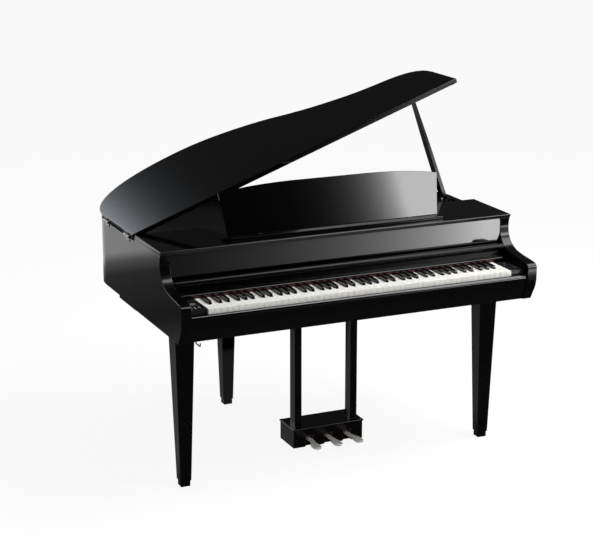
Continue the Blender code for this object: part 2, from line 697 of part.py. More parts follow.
def rest_hinge():
    """Two blocks on the fixed board, and the long rod through them that the rest turns on."""
    hinge = rod("rest_hinge", (REST_X - 0.325, REST_AXIS_Y, REST_AXIS_Z), (REST_X + 0.325, REST_AXIS_Y, REST_AXIS_Z),
                ROD, 10)
    for x in REST_HINGES:
        middle = REST_X + x
        block = box("hinge_block", (middle - 0.0105, REST_AXIS_Y - 0.006, BOARD_TOP + GAP),
                    (middle + 0.0105, REST_AXIS_Y + 0.006, REST_AXIS_Z + 0.0030))
        hinge = fused(hinge, block)
    settle(hinge, STEEL, smooth=40)


def music_ledge():
    """The low shelf in front of the rest, with ends that splay outwards."""
    front, back = 0.222, 0.2555
    outline = [(REST_X - 0.436, front), (REST_X + 0.436, front), (REST_X + 0.444, front + 0.006),
               (REST_X + 0.458, back), (REST_X - 0.458, back), (REST_X - 0.444, front + 0.006)]
    settle(slab("music_ledge", [outline], BOARD_TOP + GAP, BOARD_TOP + 0.010, edge=0.001, steps=0), LACQUER, smooth=30)


def lid():
    """The one-piece lid, with the rim's own plan."""
    outline = [(-HALF_WIDTH, LID_FRONT)] + rim_plan() + [(HALF_WIDTH, LID_FRONT)]
    board = slab("lid", [outline[::-1]], LID_UNDERSIDE, LID_UNDERSIDE + LID_THICKNESS, edge=0.002, steps=0)
    settle(board, LACQUER, LID_PIVOT, smooth=30)


def hinge_leaf(name, place, low, high, knuckles):
    """A hinge leaf against the case's left side, with the given stretches of knuckle."""
    face, depth = -HALF_WIDTH - GAP, 0.0018
    half = HINGE_LENGTH / 2
    leaf = box(name, (face - depth, place - half, low), (face, place + half, high))
    for start, end in knuckles:
        barrel = rod("knuckle", (HINGE_X, place + start, HINGE_Z), (HINGE_X, place + end, HINGE_Z), 0.0040, 10)
        near = low if low > HINGE_Z else high
        tab = box("tab", (face - depth, place + start, min(near, HINGE_Z) - 0.0002),
                  (face - 0.0002, place + end, max(near, HINGE_Z) + 0.0002))
        leaf = fused(fused(leaf, tab), barrel)
    return leaf


def lid_hinges():
    """Two butt hinges: the case's leaf carries the middle knuckle, the lid's leaf the outer two."""
    half = HINGE_LENGTH / 2
    for end, place in zip(("front", "rear"), HINGE_PLACES):
        leaf = hinge_leaf(f"hinge_leaf_case_{end}", place, 0.8690, 0.8823, [(-0.010, 0.010)])
        settle(leaf, NICKEL, smooth=40)
        outer = [(-half, -0.0105), (0.0105, half)]
        settle(hinge_leaf(f"hinge_leaf_lid_{end}", place, 0.8917, 0.9060, outer), NICKEL, LID_PIVOT, smooth=40)


def prop_cup():
    """The cup under the lid that the prop's head stands in, open towards the hinges."""
    reach = (PROP_X - HINGE_X) * math.cos(LID_OPEN) + (PROP_Z - HINGE_Z) * math.sin(LID_OPEN)
    x = HINGE_X + reach
    top = LID_UNDERSIDE - GAP
    cup = box("prop_cup", (x - 0.020, PROP_Y - 0.018, top - 0.009), (x + 0.016, PROP_Y + 0.018, top))
    hollow = box("cup_hollow", (x - 0.030, PROP_Y - 0.013, top - 0.020), (x + 0.010, PROP_Y + 0.013, CUP_CEILING))
    settle(cut(cup, hollow), NICKEL, LID_PIVOT)


def prop_frame():
    """The matrix from the prop's own frame (across Y, along the prop, thickness) to the working frame."""
    frame = Matrix.Identity(4)
    columns = (Vector((0.0, 1.0, 0.0)), Vector((-math.sin(LID_OPEN), 0.0, math.cos(LID_OPEN))),
               Vector((math.cos(LID_OPEN), 0.0, math.sin(LID_OPEN))))
    for column, axis in enumerate(columns):
        for row in range(3):
            frame[row][column] = axis[row]
    return Matrix.Translation((PROP_X, PROP_Y, PROP_Z)) @ frame


def lid_prop():
    """The prop: a tapered stick with a forked foot that turns on the bracket's pin."""
    foot, head, half_foot, half_head = -0.009, PROP_LENGTH, 0.021, 0.0095
    slot_half, slot_end = 0.0072, 0.125
    outline = [(half_foot - 0.004, foot), (half_foot, foot + 0.006), (half_foot - 0.001, 0.250),
               (half_head, head - 0.003), (half_head - 0.003, head), (-half_head + 0.003, head),
               (-half_head, head - 0.003), (-half_foot + 0.001, 0.250), (-half_foot, foot + 0.006),
               (-half_foot + 0.004, foot), (-slot_half, foot)]
    outline += arc((0.0, slot_end - slot_half), slot_half, 180, 0, 6) + [(slot_half, foot)]
    stick = slab("lid_prop", [outline], -0.0075, 0.0075)
    for point in stick.data.vertices:
        point.co.z *= 1.0 - 0.45 * max(point.co.y, 0.0) / head
    stick = cut(stick, rod("prop_bore", (-0.040, 0.0, 0.0), (0.040, 0.0, 0.0), 0.0043, 12))
    stick.data.transform(prop_frame())
    settle(stick, LACQUER, origin=(PROP_X, PROP_Y, PROP_Z), smooth=30)


def prop_bracket():
    """The bracket on the rim's inner face: a plate, a round-topped tongue and the prop's pin."""
    wall = HALF_WIDTH - RIM_WALL - 0.0008
    plate = box("prop_bracket", (wall - 0.0025, PROP_Y - 0.036, 0.852), (wall, PROP_Y + 0.016, 0.880))
    foot = box("bracket_foot", (0.668, PROP_Y - 0.006, DECK_TOP + GAP), (wall - 0.001, PROP_Y + 0.006, PROP_Z))
    crown = rod("bracket_crown", (PROP_X, PROP_Y - 0.006, PROP_Z), (PROP_X, PROP_Y + 0.006, PROP_Z), 0.011, 16)
    pin = rod("prop_pin", (PROP_X, PROP_Y - 0.0235, PROP_Z), (PROP_X, PROP_Y + 0.0235, PROP_Z), 0.0040, 12)
    piece = fused(fused(fused(plate, foot), crown), pin)
    settle(piece, STEEL, smooth=40)


def leg(name, x, y, top):
    """A square leg that tapers down to its foot."""
    low = FOOT_HEIGHT
    half = LEG_TOP_SIDE / 2
    piece = box(name, (x - half, y - half, low), (x + half, y + half, top))
    for point in piece.data.vertices:
        if point.co.z < 0.1:
            point.co.x = x + (point.co.x - x) * LEG_FOOT_SIDE / LEG_TOP_SIDE
            point.co.y = y + (point.co.y - y) * LEG_FOOT_SIDE / LEG_TOP_SIDE
    bevel = piece.modifiers.new("rounded edges", 'BEVEL')
    bevel.width = 0.0020
    bevel.segments = 1
    half = FOOT_SIDE / 2
    foot = box("foot", (x - half, y - half, 0.0), (x + half, y + half, low + 0.004), edge=0.0015)
    return settle(fused(piece, foot), LACQUER, smooth=30)


def legs():
    """Two front legs and the rear leg."""
    leg("leg_front_left", -LEG_X, LEG_Y, CASE_BOTTOM - GAP)
    leg("leg_front_right", LEG_X, LEG_Y, CASE_BOTTOM - GAP)
    leg("leg_rear", *REAR_LEG, 0.630 - GAP)


def lyre():
    """Two square posts on the plate that covers the pedal box."""
    plate = box("lyre", (LYRE_X - 0.151, 0.308, 0.104), (LYRE_X + 0.151, 0.445, 0.110), edge=0.0015)
    for side in (-1, 1):
        middle = LYRE_X + side * POST_SPREAD
        plate = fused(plate, box("post", (middle - 0.0145, 0.334, 0.107), (middle + 0.0145, 0.382, CASE_BOTTOM - GAP),
                                 edge=0.0015))
    settle(plate, LACQUER)


def pedal_box():
    """The box of the pedals: open under its cover plate, three slots in its front, a foot below."""
    case = box("pedal_box", (BOX_LEFT, BOX_FRONT, BOX_LOW), (BOX_RIGHT, BOX_BACK, BOX_HIGH))
    case = cut(case, box("box_inside", (BOX_LEFT + 0.012, BOX_FRONT + 0.012, BOX_LOW + 0.008),
                         (BOX_RIGHT - 0.012, BOX_BACK - 0.012, BOX_HIGH + 0.020)))
    for number in (-1, 0, 1):
        x = LYRE_X + number * PEDAL_SPREAD
        case = cut(case, box("slot", (x - 0.018, BOX_FRONT - 0.010, BOX_LOW - 0.010),
                             (x + 0.018, BOX_FRONT + 0.0121, 0.076)))
    profile = [(0.0, BOX_LOW + 0.002), (0.006, BOX_LOW + 0.002), (0.006, 0.012), (0.015, 0.010), (0.015, 0.0),
               (0.0, 0.0)]
    settle(fused(case, turned("adjusting_foot", profile, 12, (LYRE_X, 0.400))), LACQUER)


def pedal(name, x, splay):
    """One pedal: a lever that widens to a round foot plate, on a hub that turns on the shaft.

    The splay is how far the foot plate stands to one side of the lever.
    """
    half_neck, half_tip = 0.0085, 0.0165
    side = bezier((half_neck, 0.290), (half_neck, 0.264), (half_tip, 0.258), (half_tip, 0.236), 5)
    tip = arc((0.0, 0.2215), half_tip, 0, -90, 5)
    right = [(half_neck, PEDAL_AXLE_Y)] + side + [(half_tip, 0.236)] + tip
    outline = right + [(-across, along) for across, along in reversed(right[:-1])]
    lever = slab(name, [outline[::-1]], 0.0565, 0.0655, edge=0.0025, steps=1)
    for point in lever.data.vertices:
        share = min(max((0.295 - point.co.y) / 0.050, 0.0), 1.0)
        point.co.x += x + splay * share * share * (3.0 - 2.0 * share)
    axle = (PEDAL_AXLE_Y, PEDAL_AXLE_Z)
    lever = fused(lever, rod("hub", (x - 0.012, *axle), (x + 0.012, *axle), 0.0100, 14))
    lever = cut(lever, rod("hub_bore", (x - 0.020, *axle), (x + 0.020, *axle), 0.0053, 12))
    settle(lever, NICKEL, origin=(x, *axle), smooth=35)


def pedals():
    """The three pedals on their common shaft, which two blocks carry inside the box."""
    for number, name in ((-1, "pedal_left"), (0, "pedal_middle"), (1, "pedal_right")):
        pedal(name, LYRE_X + number * PEDAL_SPREAD, number * PEDAL_SPLAY)
    left, right = BOX_LEFT + 0.0125, BOX_RIGHT - 0.0125
    axle = (PEDAL_AXLE_Y, PEDAL_AXLE_Z)
    shaft = rod("pedal_shaft", (left, *axle), (right, *axle), 0.0050, 12)
    floor = BOX_LOW + 0.008 + GAP
    for start in (left, right - 0.010):
        shaft = fused(shaft, box("bearing_block", (start, PEDAL_AXLE_Y - 0.010, floor),
                                 (start + 0.010, PEDAL_AXLE_Y + 0.010, 0.072)))
    settle(shaft, STEEL, smooth=40)


def headphone_hanger():
    """The wire hook for headphones under the left end of the key bed."""
    x, top = -0.632, CASE_BOTTOM - GAP
    line = [(0.062, top - 0.001), (0.062, 0.6030), (0.060, 0.5990), (0.056, 0.5975), (0.024, 0.5975),
            (0.019, 0.5995), (0.017, 0.6040), (0.017, 0.6100)]
    hook = wire("headphone_hanger", [(x, y, z) for y, z in line], 0.0025)
    hook = fused(hook, box("hanger_plate", (x - 0.014, 0.046, top - 0.002), (x + 0.014, 0.076, top)))
    settle(hook, STEEL, smooth=40)


def electrics():
    """The circuit board and power supply on the key bed, and the mains inlet under its back."""
    settle(box("main_board", (-0.300, 0.380, 0.6405), (0.020, 0.520, 0.660)), CIRCUIT)
    settle(box("power_supply", (0.240, 0.380, 0.6405), (0.420, 0.500, 0.700)), CIRCUIT)
    x, y, top = 0.330, 0.600, CASE_BOTTOM - GAP
    inlet = box("mains_inlet", (x - 0.020, y, top - 0.026), (x + 0.020, y + 0.040, top), edge=0.0015)
    inlet = cut(inlet, box("inlet_socket", (x - 0.012, y + 0.022, top - 0.021), (x + 0.012, y + 0.060, top - 0.006)))
    settle(inlet, PLASTIC)


rim()
cheeks()
bottom_boards()
woofers()
inner_deck()
top_board()
front_panel()
key_rail()
key_slip()
key_cover()
key_blocks()
controls()
key_frame()
keys()
music_rest()
rest_bail()
rest_hinge()
music_ledge()
lid()
lid_hinges()
prop_cup()
lid_prop()
prop_bracket()
legs()
lyre()
pedal_box()
pedals()
headphone_hanger()
electrics()
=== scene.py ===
# %% [markdown]
# # A digital grand piano in black lacquer
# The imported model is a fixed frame: every board, lever and key of it is already in its place, in
# metres. This script gives that frame its finishes, adds the small pieces that only the eye needs,
# and sets up a small studio. Each step says what the real thing is before it makes it.

# %% Load the frame
import json
import math

import bmesh
import bpy
from mathutils import Matrix, Vector

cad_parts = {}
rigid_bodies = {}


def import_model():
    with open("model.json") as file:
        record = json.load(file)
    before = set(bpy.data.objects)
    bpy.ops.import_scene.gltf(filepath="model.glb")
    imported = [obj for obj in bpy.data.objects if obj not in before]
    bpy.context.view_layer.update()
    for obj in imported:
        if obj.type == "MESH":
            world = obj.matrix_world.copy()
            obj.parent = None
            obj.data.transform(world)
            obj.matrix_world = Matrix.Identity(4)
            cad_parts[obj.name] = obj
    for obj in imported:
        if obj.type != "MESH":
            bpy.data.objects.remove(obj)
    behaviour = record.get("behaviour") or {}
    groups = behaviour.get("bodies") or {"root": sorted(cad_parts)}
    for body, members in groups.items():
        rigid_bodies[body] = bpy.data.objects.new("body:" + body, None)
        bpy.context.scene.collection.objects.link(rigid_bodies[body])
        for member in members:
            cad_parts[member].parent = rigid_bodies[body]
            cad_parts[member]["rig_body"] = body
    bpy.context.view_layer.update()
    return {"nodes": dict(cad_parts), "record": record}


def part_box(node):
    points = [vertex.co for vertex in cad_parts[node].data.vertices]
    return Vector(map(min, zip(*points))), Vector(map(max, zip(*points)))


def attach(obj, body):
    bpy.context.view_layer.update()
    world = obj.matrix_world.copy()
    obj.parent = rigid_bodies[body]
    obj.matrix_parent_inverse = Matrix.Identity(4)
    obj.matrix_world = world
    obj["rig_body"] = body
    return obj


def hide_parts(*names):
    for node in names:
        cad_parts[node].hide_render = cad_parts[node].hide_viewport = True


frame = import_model()

# %% [markdown]
# ## The camera
# The instrument is seen from the bass side, from about a metre above the top of the open lid, with
# a fairly long lens. A camera is matched to such a picture by its corners: keyboard ends, feet, lid
# corners and pedals. A long focal length stands for standing well back, which keeps boxes square.

# %% Camera
CAMERA_PLACE = Vector((-2.6415, -5.8545, 2.4390))
CAMERA_YAW = math.radians(24.13)
CAMERA_PITCH = math.radians(15.45)
LOOKING_LEVEL = math.pi / 2
FOCAL_LENGTH = 103.3
SENSOR_WIDTH = 36.0
bpy.ops.object.camera_add(location=CAMERA_PLACE,
                          rotation=(LOOKING_LEVEL - CAMERA_PITCH, 0.0, -CAMERA_YAW))
camera = bpy.context.object
camera.name = "photo_camera"
camera.data.lens = FOCAL_LENGTH
camera.data.sensor_width = SENSOR_WIDTH
bpy.context.scene.camera = camera
bpy.context.scene.view_settings.view_transform = 'Standard'
print("camera with a lens of", FOCAL_LENGTH, "mm")

# %% [markdown]
# ## Colours and nodes
# Colours are easiest to name as they look on a screen, as hex values, but a shader works in linear
# light. One function turns the first into the second. Another adds a node of any kind and links it
# in one go, so a material reads from top to bottom like a recipe.

# %% Helpers for nodes
def linear(hex_colour):
    """An sRGB hex colour as the linear values that a shader takes."""
    channels = [int(hex_colour[start:start + 2], 16) / 255 for start in (0, 2, 4)]
    return [value / 12.92 if value <= 0.04045 else ((value + 0.055) / 1.055) ** 2.4
            for value in channels] + [1.0]


def add_node(tree, kind, settings=None, *in_order, **by_name):
    """Adds a node; a socket takes a number, a colour, or another node's output."""
    node = tree.nodes.new(kind)
    for name, value in (settings or {}).items():
        setattr(node, name, value)
    sockets = list(zip(node.inputs, in_order))
    sockets += [(node.inputs[name.replace("_", " ")], value) for name, value in by_name.items()]
    for socket, value in sockets:
        if isinstance(value, bpy.types.NodeSocket):
            tree.links.new(value, socket)
        else:
            socket.default_value = value
    return node


print("a mid grey in linear light:", round(linear("808080")[0], 3))

# %% [markdown]
# ## Materials and painted light
# A material starts from Blender's Principled shader. What is the same all over the surface is set
# on the shader's own sockets, and what varies is linked to them later. The lights of the studio are
# painted as well: a level is given at a few places, and it runs straight from each to the next.

# %% Helpers for materials
def new_material(name, **constants):
    """A Principled material with its constants set, and its node tree and shader."""
    material = bpy.data.materials.new(name)
    material.use_nodes = True
    tree = material.node_tree
    shader = tree.nodes["Principled BSDF"]
    for socket, value in constants.items():
        shader.inputs[socket.replace("_", " ")].default_value = value
    print("material", name)
    return material, tree, shader


def banded(tree, value, stops):
    """A level that runs straight from stop to stop; each stop is a value and its level."""
    first, last = stops[0][0], stops[-1][0]
    share = add_node(tree, "ShaderNodeMapRange", Value=value, From_Min=first, From_Max=last)
    bands = add_node(tree, "ShaderNodeValToRGB", Fac=share.outputs[0])
    while len(bands.color_ramp.elements) < len(stops):
        bands.color_ramp.elements.new(0.5)
    for element, (place, level) in zip(bands.color_ramp.elements, stops):
        element.position = (place - first) / (last - first)
        element.color = (level, level, level, 1.0)
    return bands.outputs["Color"]


# %% [markdown]
# ## The floor
# A pale sweep of paper. To the eye it is almost white, and it keeps a soft shadow where the feet
# stand. Gloss sees it too: white far behind, which lights the rim along its bass side, but dark
# close to the instrument, where a black cloth would lie in a studio. Without that cloth, black
# lacquer mirrors white paper and looks grey. The stops are distances from front to back, in
# metres, each with the brightness that gloss sees there.

# %% Floor
FLOOR_SIDE = 120.0
SHADOW_SHARE = 0.14
PAPER_GLOW = 1.05
MIRRORED_FLOOR = ((-4.0, 0.050), (-0.35, 0.045), (-0.05, 0.22), (1.0, 0.19), (1.7, 0.05),
                  (2.55, 0.10), (2.8, 0.32), (3.0, 0.95))
bpy.ops.mesh.primitive_plane_add(size=FLOOR_SIDE, location=(0.0, 0.0, 0.0))
floor = bpy.context.object
floor.name = "studio_floor"
paper, tree, shader = new_material("matte_background_paper")
tree.nodes.remove(shader)
ray = add_node(tree, "ShaderNodeLightPath")
place = add_node(tree, "ShaderNodeTexCoord").outputs["Object"]
depth = add_node(tree, "ShaderNodeSeparateXYZ", Vector=place).outputs["Y"]
mirrored = add_node(tree, "ShaderNodeEmission", Color=linear("ffffff"),
                    Strength=banded(tree, depth, MIRRORED_FLOOR))
bright = add_node(tree, "ShaderNodeEmission", Color=linear("ffffff"), Strength=PAPER_GLOW)
lit = add_node(tree, "ShaderNodeBsdfDiffuse", Color=linear("f6f6f6"))
shadowed = add_node(tree, "ShaderNodeMixShader", None,
                    SHADOW_SHARE, bright.outputs[0], lit.outputs[0])
to_eye = add_node(tree, "ShaderNodeMixShader", None,
                  ray.outputs["Is Camera Ray"], lit.outputs[0], shadowed.outputs[0])
to_gloss = add_node(tree, "ShaderNodeMixShader", None,
                    ray.outputs["Is Glossy Ray"], to_eye.outputs[0], mirrored.outputs[0])
tree.links.new(to_gloss.outputs[0], tree.nodes["Material Output"].inputs["Surface"])
floor.data.materials.append(paper)

# %% [markdown]
# ## The studio
# Gloss has no look of its own: it shows the room. This room is white only at the rear on the bass
# side. Everywhere else, also overhead, hang large black cards, so that the lid, the fixed board and
# the panels mirror black. A soft light of a cooler white stands at the rear too, and its edge is
# what draws the bluish glow on the lid beside its hinges. All of it is painted into the world by
# direction, so it stays where it is when the view moves. Each direction is an azimuth and an
# elevation in degrees.

# %% World
BRIGHT_SIDE = (215.0, 15.0)
BRIGHT_INNER = math.radians(33.0)
BRIGHT_OUTER = math.radians(40.0)
CARD = 0.03
REAR_LIGHT = (190.0, 23.0)
REAR_LIGHT_EDGE = math.radians(13.5)
REAR_LIGHT_FALL = 340.0
REAR_LIGHT_STRENGTH = 1.2
FILL_STRENGTH = 0.30


def direction(azimuth, elevation):
    """A direction in the room; azimuth runs from the front to the treble side."""
    turn, rise = math.radians(azimuth), math.radians(elevation)
    return (math.sin(turn) * math.cos(rise), -math.cos(turn) * math.cos(rise), math.sin(rise))


world = bpy.data.worlds.new("studio")
bpy.context.scene.world = world
world.use_nodes = True
tree = world.node_tree
tree.nodes.clear()
towards = add_node(tree, "ShaderNodeTexCoord").outputs["Generated"]
to_bright_side = add_node(tree, "ShaderNodeVectorMath", {"operation": 'DOT_PRODUCT'},
                          towards, direction(*BRIGHT_SIDE)).outputs["Value"]
room = add_node(tree, "ShaderNodeMapRange", {"interpolation_type": 'SMOOTHERSTEP'},
                Value=to_bright_side, From_Min=math.cos(BRIGHT_OUTER),
                From_Max=math.cos(BRIGHT_INNER), To_Min=CARD, To_Max=1.0).outputs[0]
to_rear_light = add_node(tree, "ShaderNodeVectorMath", {"operation": 'DOT_PRODUCT'},
                         towards, direction(*REAR_LIGHT)).outputs["Value"]
past = add_node(tree, "ShaderNodeMath", {"operation": 'SUBTRACT'},
                to_rear_light, math.cos(REAR_LIGHT_EDGE)).outputs[0]
fall = add_node(tree, "ShaderNodeMath", {"operation": 'MULTIPLY'},
                past, REAR_LIGHT_FALL).outputs[0]
glow = add_node(tree, "ShaderNodeMath", {"operation": 'POWER'}, math.e, fall).outputs[0]
glow = add_node(tree, "ShaderNodeMath", {"operation": 'MINIMUM'}, glow, 1.0).outputs[0]
glow = add_node(tree, "ShaderNodeMath", {"operation": 'MULTIPLY'},
                glow, REAR_LIGHT_STRENGTH).outputs[0]
print("bright side", BRIGHT_SIDE, "rear light", REAR_LIGHT)

# %% [markdown]
# ## Three looks of one room
# A light path tells what a ray is for. Gloss gets the painted room, with the cool light added to
# it. The eye gets plain white. Everything else is lit by an even, dim white that fills the shadows.

# %% Mix the world
walls = add_node(tree, "ShaderNodeBackground", Color=linear("ffffff"), Strength=room)
cool = add_node(tree, "ShaderNodeBackground", Color=linear("eef6ff"), Strength=glow)
mirrored = add_node(tree, "ShaderNodeAddShader", None, walls.outputs[0], cool.outputs[0])
fill = add_node(tree, "ShaderNodeBackground", Color=linear("ffffff"), Strength=FILL_STRENGTH)
white = add_node(tree, "ShaderNodeBackground", Color=linear("ffffff"), Strength=1.0)
ray = add_node(tree, "ShaderNodeLightPath")
to_gloss = add_node(tree, "ShaderNodeMixShader", None,
                    ray.outputs["Is Glossy Ray"], fill.outputs[0], mirrored.outputs[0])
to_eye = add_node(tree, "ShaderNodeMixShader", None,
                  ray.outputs["Is Camera Ray"], to_gloss.outputs[0], white.outputs[0])
add_node(tree, "ShaderNodeOutputWorld", Surface=to_eye.outputs[0])
print(len(tree.nodes), "nodes make the room")

# %% [markdown]
# ## A soft light in front
# On the treble side in front stands a tall soft light. The panel under the fixed board and the
# music rest both mirror it, and both go from black to bright where its left edge begins: slowly
# low down, and quickly higher up. A plane that glows by place does this: an exponent makes a slope
# that looks even to the eye. From 0.34 to 1.60 m above the floor a screen hangs before it and lets
# a tenth through, which keeps the lower fronts black, and its top fades away. It is there for gloss
# alone, so that it doesn't bleach the keys.

# %% Soft light in front
SOFTBOX_Y = -2.90
SOFTBOX_SIDES = (0.0, 4.6)
SOFTBOX_FOOT = 0.03
SOFTBOX_HEAD = 2.9
bpy.ops.mesh.primitive_plane_add(size=1.0)
softbox = bpy.context.object
softbox.name = "soft_light_in_front"
corners = [(x, z) for z in (SOFTBOX_FOOT, SOFTBOX_HEAD) for x in SOFTBOX_SIDES]
for corner, (x, z) in zip(softbox.data.vertices, corners):
    corner.co = (x, SOFTBOX_Y, z)
softbox.visible_camera = False
softbox.visible_diffuse = False
softbox.visible_shadow = False
softbox.visible_transmission = False

# %% [markdown]
# ## The soft light's glow
# Its left edge is given at two heights, each with how far along it lies and how steeply the light
# rises past it. The shares say how much the screen lets through at each height.

# %% Light of the soft light
LOW_HEIGHT, LOW_EDGE, LOW_STEEPNESS = 0.15, 2.11, 2.2
HIGH_HEIGHT, HIGH_EDGE, HIGH_STEEPNESS = 1.90, 1.74, 8.8
SOFTBOX_STRENGTH = 12.0
SCREEN_SHARES = ((0.0, 1.0), (0.22, 1.0), (0.34, 0.10), (1.60, 0.10), (1.76, 1.0), (2.25, 1.0),
                 (2.9, 0.0))
cloth, tree, shader = new_material("soft_light_cloth")
tree.nodes.remove(shader)
place = add_node(tree, "ShaderNodeTexCoord").outputs["Object"]
on_cloth = add_node(tree, "ShaderNodeSeparateXYZ", Vector=place)
edge = add_node(tree, "ShaderNodeMapRange", Value=on_cloth.outputs["Z"], From_Min=LOW_HEIGHT,
                From_Max=HIGH_HEIGHT, To_Min=LOW_EDGE, To_Max=HIGH_EDGE).outputs[0]
slope = add_node(tree, "ShaderNodeMapRange", Value=on_cloth.outputs["Z"], From_Min=LOW_HEIGHT,
                 From_Max=HIGH_HEIGHT, To_Min=LOW_STEEPNESS, To_Max=HIGH_STEEPNESS).outputs[0]
past = add_node(tree, "ShaderNodeMath", {"operation": 'SUBTRACT'},
                on_cloth.outputs["X"], edge).outputs[0]
climb = add_node(tree, "ShaderNodeMath", {"operation": 'MULTIPLY'}, past, slope).outputs[0]
rise = add_node(tree, "ShaderNodeMath", {"operation": 'POWER'}, math.e, climb).outputs[0]
rise = add_node(tree, "ShaderNodeMath", {"operation": 'MINIMUM'}, rise, 1.0).outputs[0]
strength = add_node(tree, "ShaderNodeMath", {"operation": 'MULTIPLY'},
                    rise, SOFTBOX_STRENGTH).outputs[0]
screen = banded(tree, on_cloth.outputs["Z"], SCREEN_SHARES)
strength = add_node(tree, "ShaderNodeMath", {"operation": 'MULTIPLY'}, strength, screen).outputs[0]
shine = add_node(tree, "ShaderNodeEmission", Color=linear("ffffff"), Strength=strength)
tree.links.new(shine.outputs[0], tree.nodes["Material Output"].inputs["Surface"])
softbox.data.materials.append(cloth)

# %% [markdown]
# ## The overhead light
# A large soft light hangs over the treble side, for the keys and the matt pieces. It is aimed at
# the middle of the instrument, and is big, so that shadows stay soft. The upper edges of the
# lacquer mirror it as thin bright lines.

# %% Overhead light
LAMP_PLACE = (1.7, -1.1, 3.6)
LAMP_SIDE = 2.6
LAMP_POWER = 150.0
MIDDLE_OF_CASE = Vector((0.0, 0.0, 0.8))
bpy.ops.object.light_add(type='AREA', location=LAMP_PLACE)
lamp = bpy.context.object
lamp.name = "overhead_light"
lamp.data.size = LAMP_SIDE
lamp.data.energy = LAMP_POWER
aim = MIDDLE_OF_CASE - Vector(LAMP_PLACE)
lamp.rotation_euler = aim.to_track_quat('-Z', 'Y').to_euler()
print("overhead light", round(aim.length, 2), "m from the case")

# %% [markdown]
# ## Black polyester lacquer
# The case is board under thick polyester lacquer, sanded flat and polished until it mirrors. It is
# almost black, very smooth, and its gloss is that of a clear resin, with an index of refraction of
# about 1.5. Two things keep it from looking like plastic film: a slow waviness of a few
# hundredths of a millimetre, with 45 mm from crest to crest, and faint haze where it was last
# wiped, in strokes about 120 mm wide.

# %% Lacquer
RESIN_IOR = 1.5
WAVE = 0.045
HAZE = 0.120
lacquer, tree, shader = new_material("polished_black_polyester_lacquer",
                                     Base_Color=linear("050506"), IOR=RESIN_IOR)
place = add_node(tree, "ShaderNodeTexCoord").outputs["Object"]
waves = add_node(tree, "ShaderNodeTexNoise", Vector=place, Scale=1 / WAVE, Detail=1.0)
ripple = add_node(tree, "ShaderNodeBump", Strength=0.05, Distance=0.0004,
                  Height=waves.outputs["Fac"])
tree.links.new(ripple.outputs[0], shader.inputs["Normal"])
wiped = add_node(tree, "ShaderNodeTexNoise", Vector=place, Scale=1 / HAZE, Detail=4.0)
haze = add_node(tree, "ShaderNodeMapRange", Value=wiped.outputs["Fac"], To_Min=0.03, To_Max=0.07)
tree.links.new(haze.outputs[0], shader.inputs["Roughness"])

# %% [markdown]
# ## Satin black paint
# The deck under the lid, the bottom boards and the key blocks are sprayed once and not polished, so
# they scatter light and show a fine, even orange peel. One noise with bumps 3 mm apart drives both
# the relief and the roughness, because on real paint the two go together.

# %% Satin paint
PEEL = 0.0030
satin, tree, shader = new_material("sprayed_satin_black_paint",
                                   Base_Color=linear("151518"), IOR=RESIN_IOR)
place = add_node(tree, "ShaderNodeTexCoord").outputs["Object"]
peel = add_node(tree, "ShaderNodeTexNoise", Vector=place, Scale=1 / PEEL, Detail=2.0)
bumps = add_node(tree, "ShaderNodeBump", Strength=0.15, Distance=0.0002,
                 Height=peel.outputs["Fac"])
tree.links.new(bumps.outputs[0], shader.inputs["Normal"])
spray = add_node(tree, "ShaderNodeMapRange", Value=peel.outputs["Fac"], To_Min=0.28, To_Max=0.42)
tree.links.new(spray.outputs[0], shader.inputs["Roughness"])

# %% [markdown]
# ## Semi-gloss black lacquer
# The rail above the keys, the lid's prop and the pedal box are lacquered too but rubbed down with
# fine steel wool rather than polished. They are as dark, but what they mirror is blurred into a
# soft sheen. The rubbing leaves fine lines along the length, so the noise is stretched twentyfold
# that way. Real ones are finer than the 2 mm drawn here, which wouldn't show.

# %% Semi-gloss lacquer
RUB = 0.0020
rubbed, tree, shader = new_material("rubbed_black_lacquer", Base_Color=linear("070708"),
                                    IOR=RESIN_IOR, Specular_IOR_Level=0.3)
place = add_node(tree, "ShaderNodeTexCoord").outputs["Object"]
strokes = add_node(tree, "ShaderNodeMapping", Vector=place, Scale=(0.05, 1.0, 1.0))
rub = add_node(tree, "ShaderNodeTexNoise", Vector=strokes.outputs[0], Scale=1 / RUB, Detail=3.0)
sheen = add_node(tree, "ShaderNodeMapRange", Value=rub.outputs["Fac"], To_Min=0.14, To_Max=0.24)
tree.links.new(sheen.outputs[0], shader.inputs["Roughness"])

# %% [markdown]
# ## Handled lacquer
# Hands take hold of the key cover each time that the keys are shut away, and wiping has dulled its
# lacquer a little more. It is a copy of the semi-gloss lacquer that mirrors less.

# %% Duller lacquer for the key cover
handled = rubbed.copy()
handled.name = "handled_black_lacquer"
handled.node_tree.nodes["Principled BSDF"].inputs["Specular IOR Level"].default_value = 0.12
print("material", handled.name)

# %% [markdown]
# ## White keys
# White keys are moulded in a warm white acrylic resin with a soft gloss. A plain colour would look
# like paper, so a cloudy tone about 30 mm across moves it very slightly, and the gloss with it,
# where fingers have worn the tops.

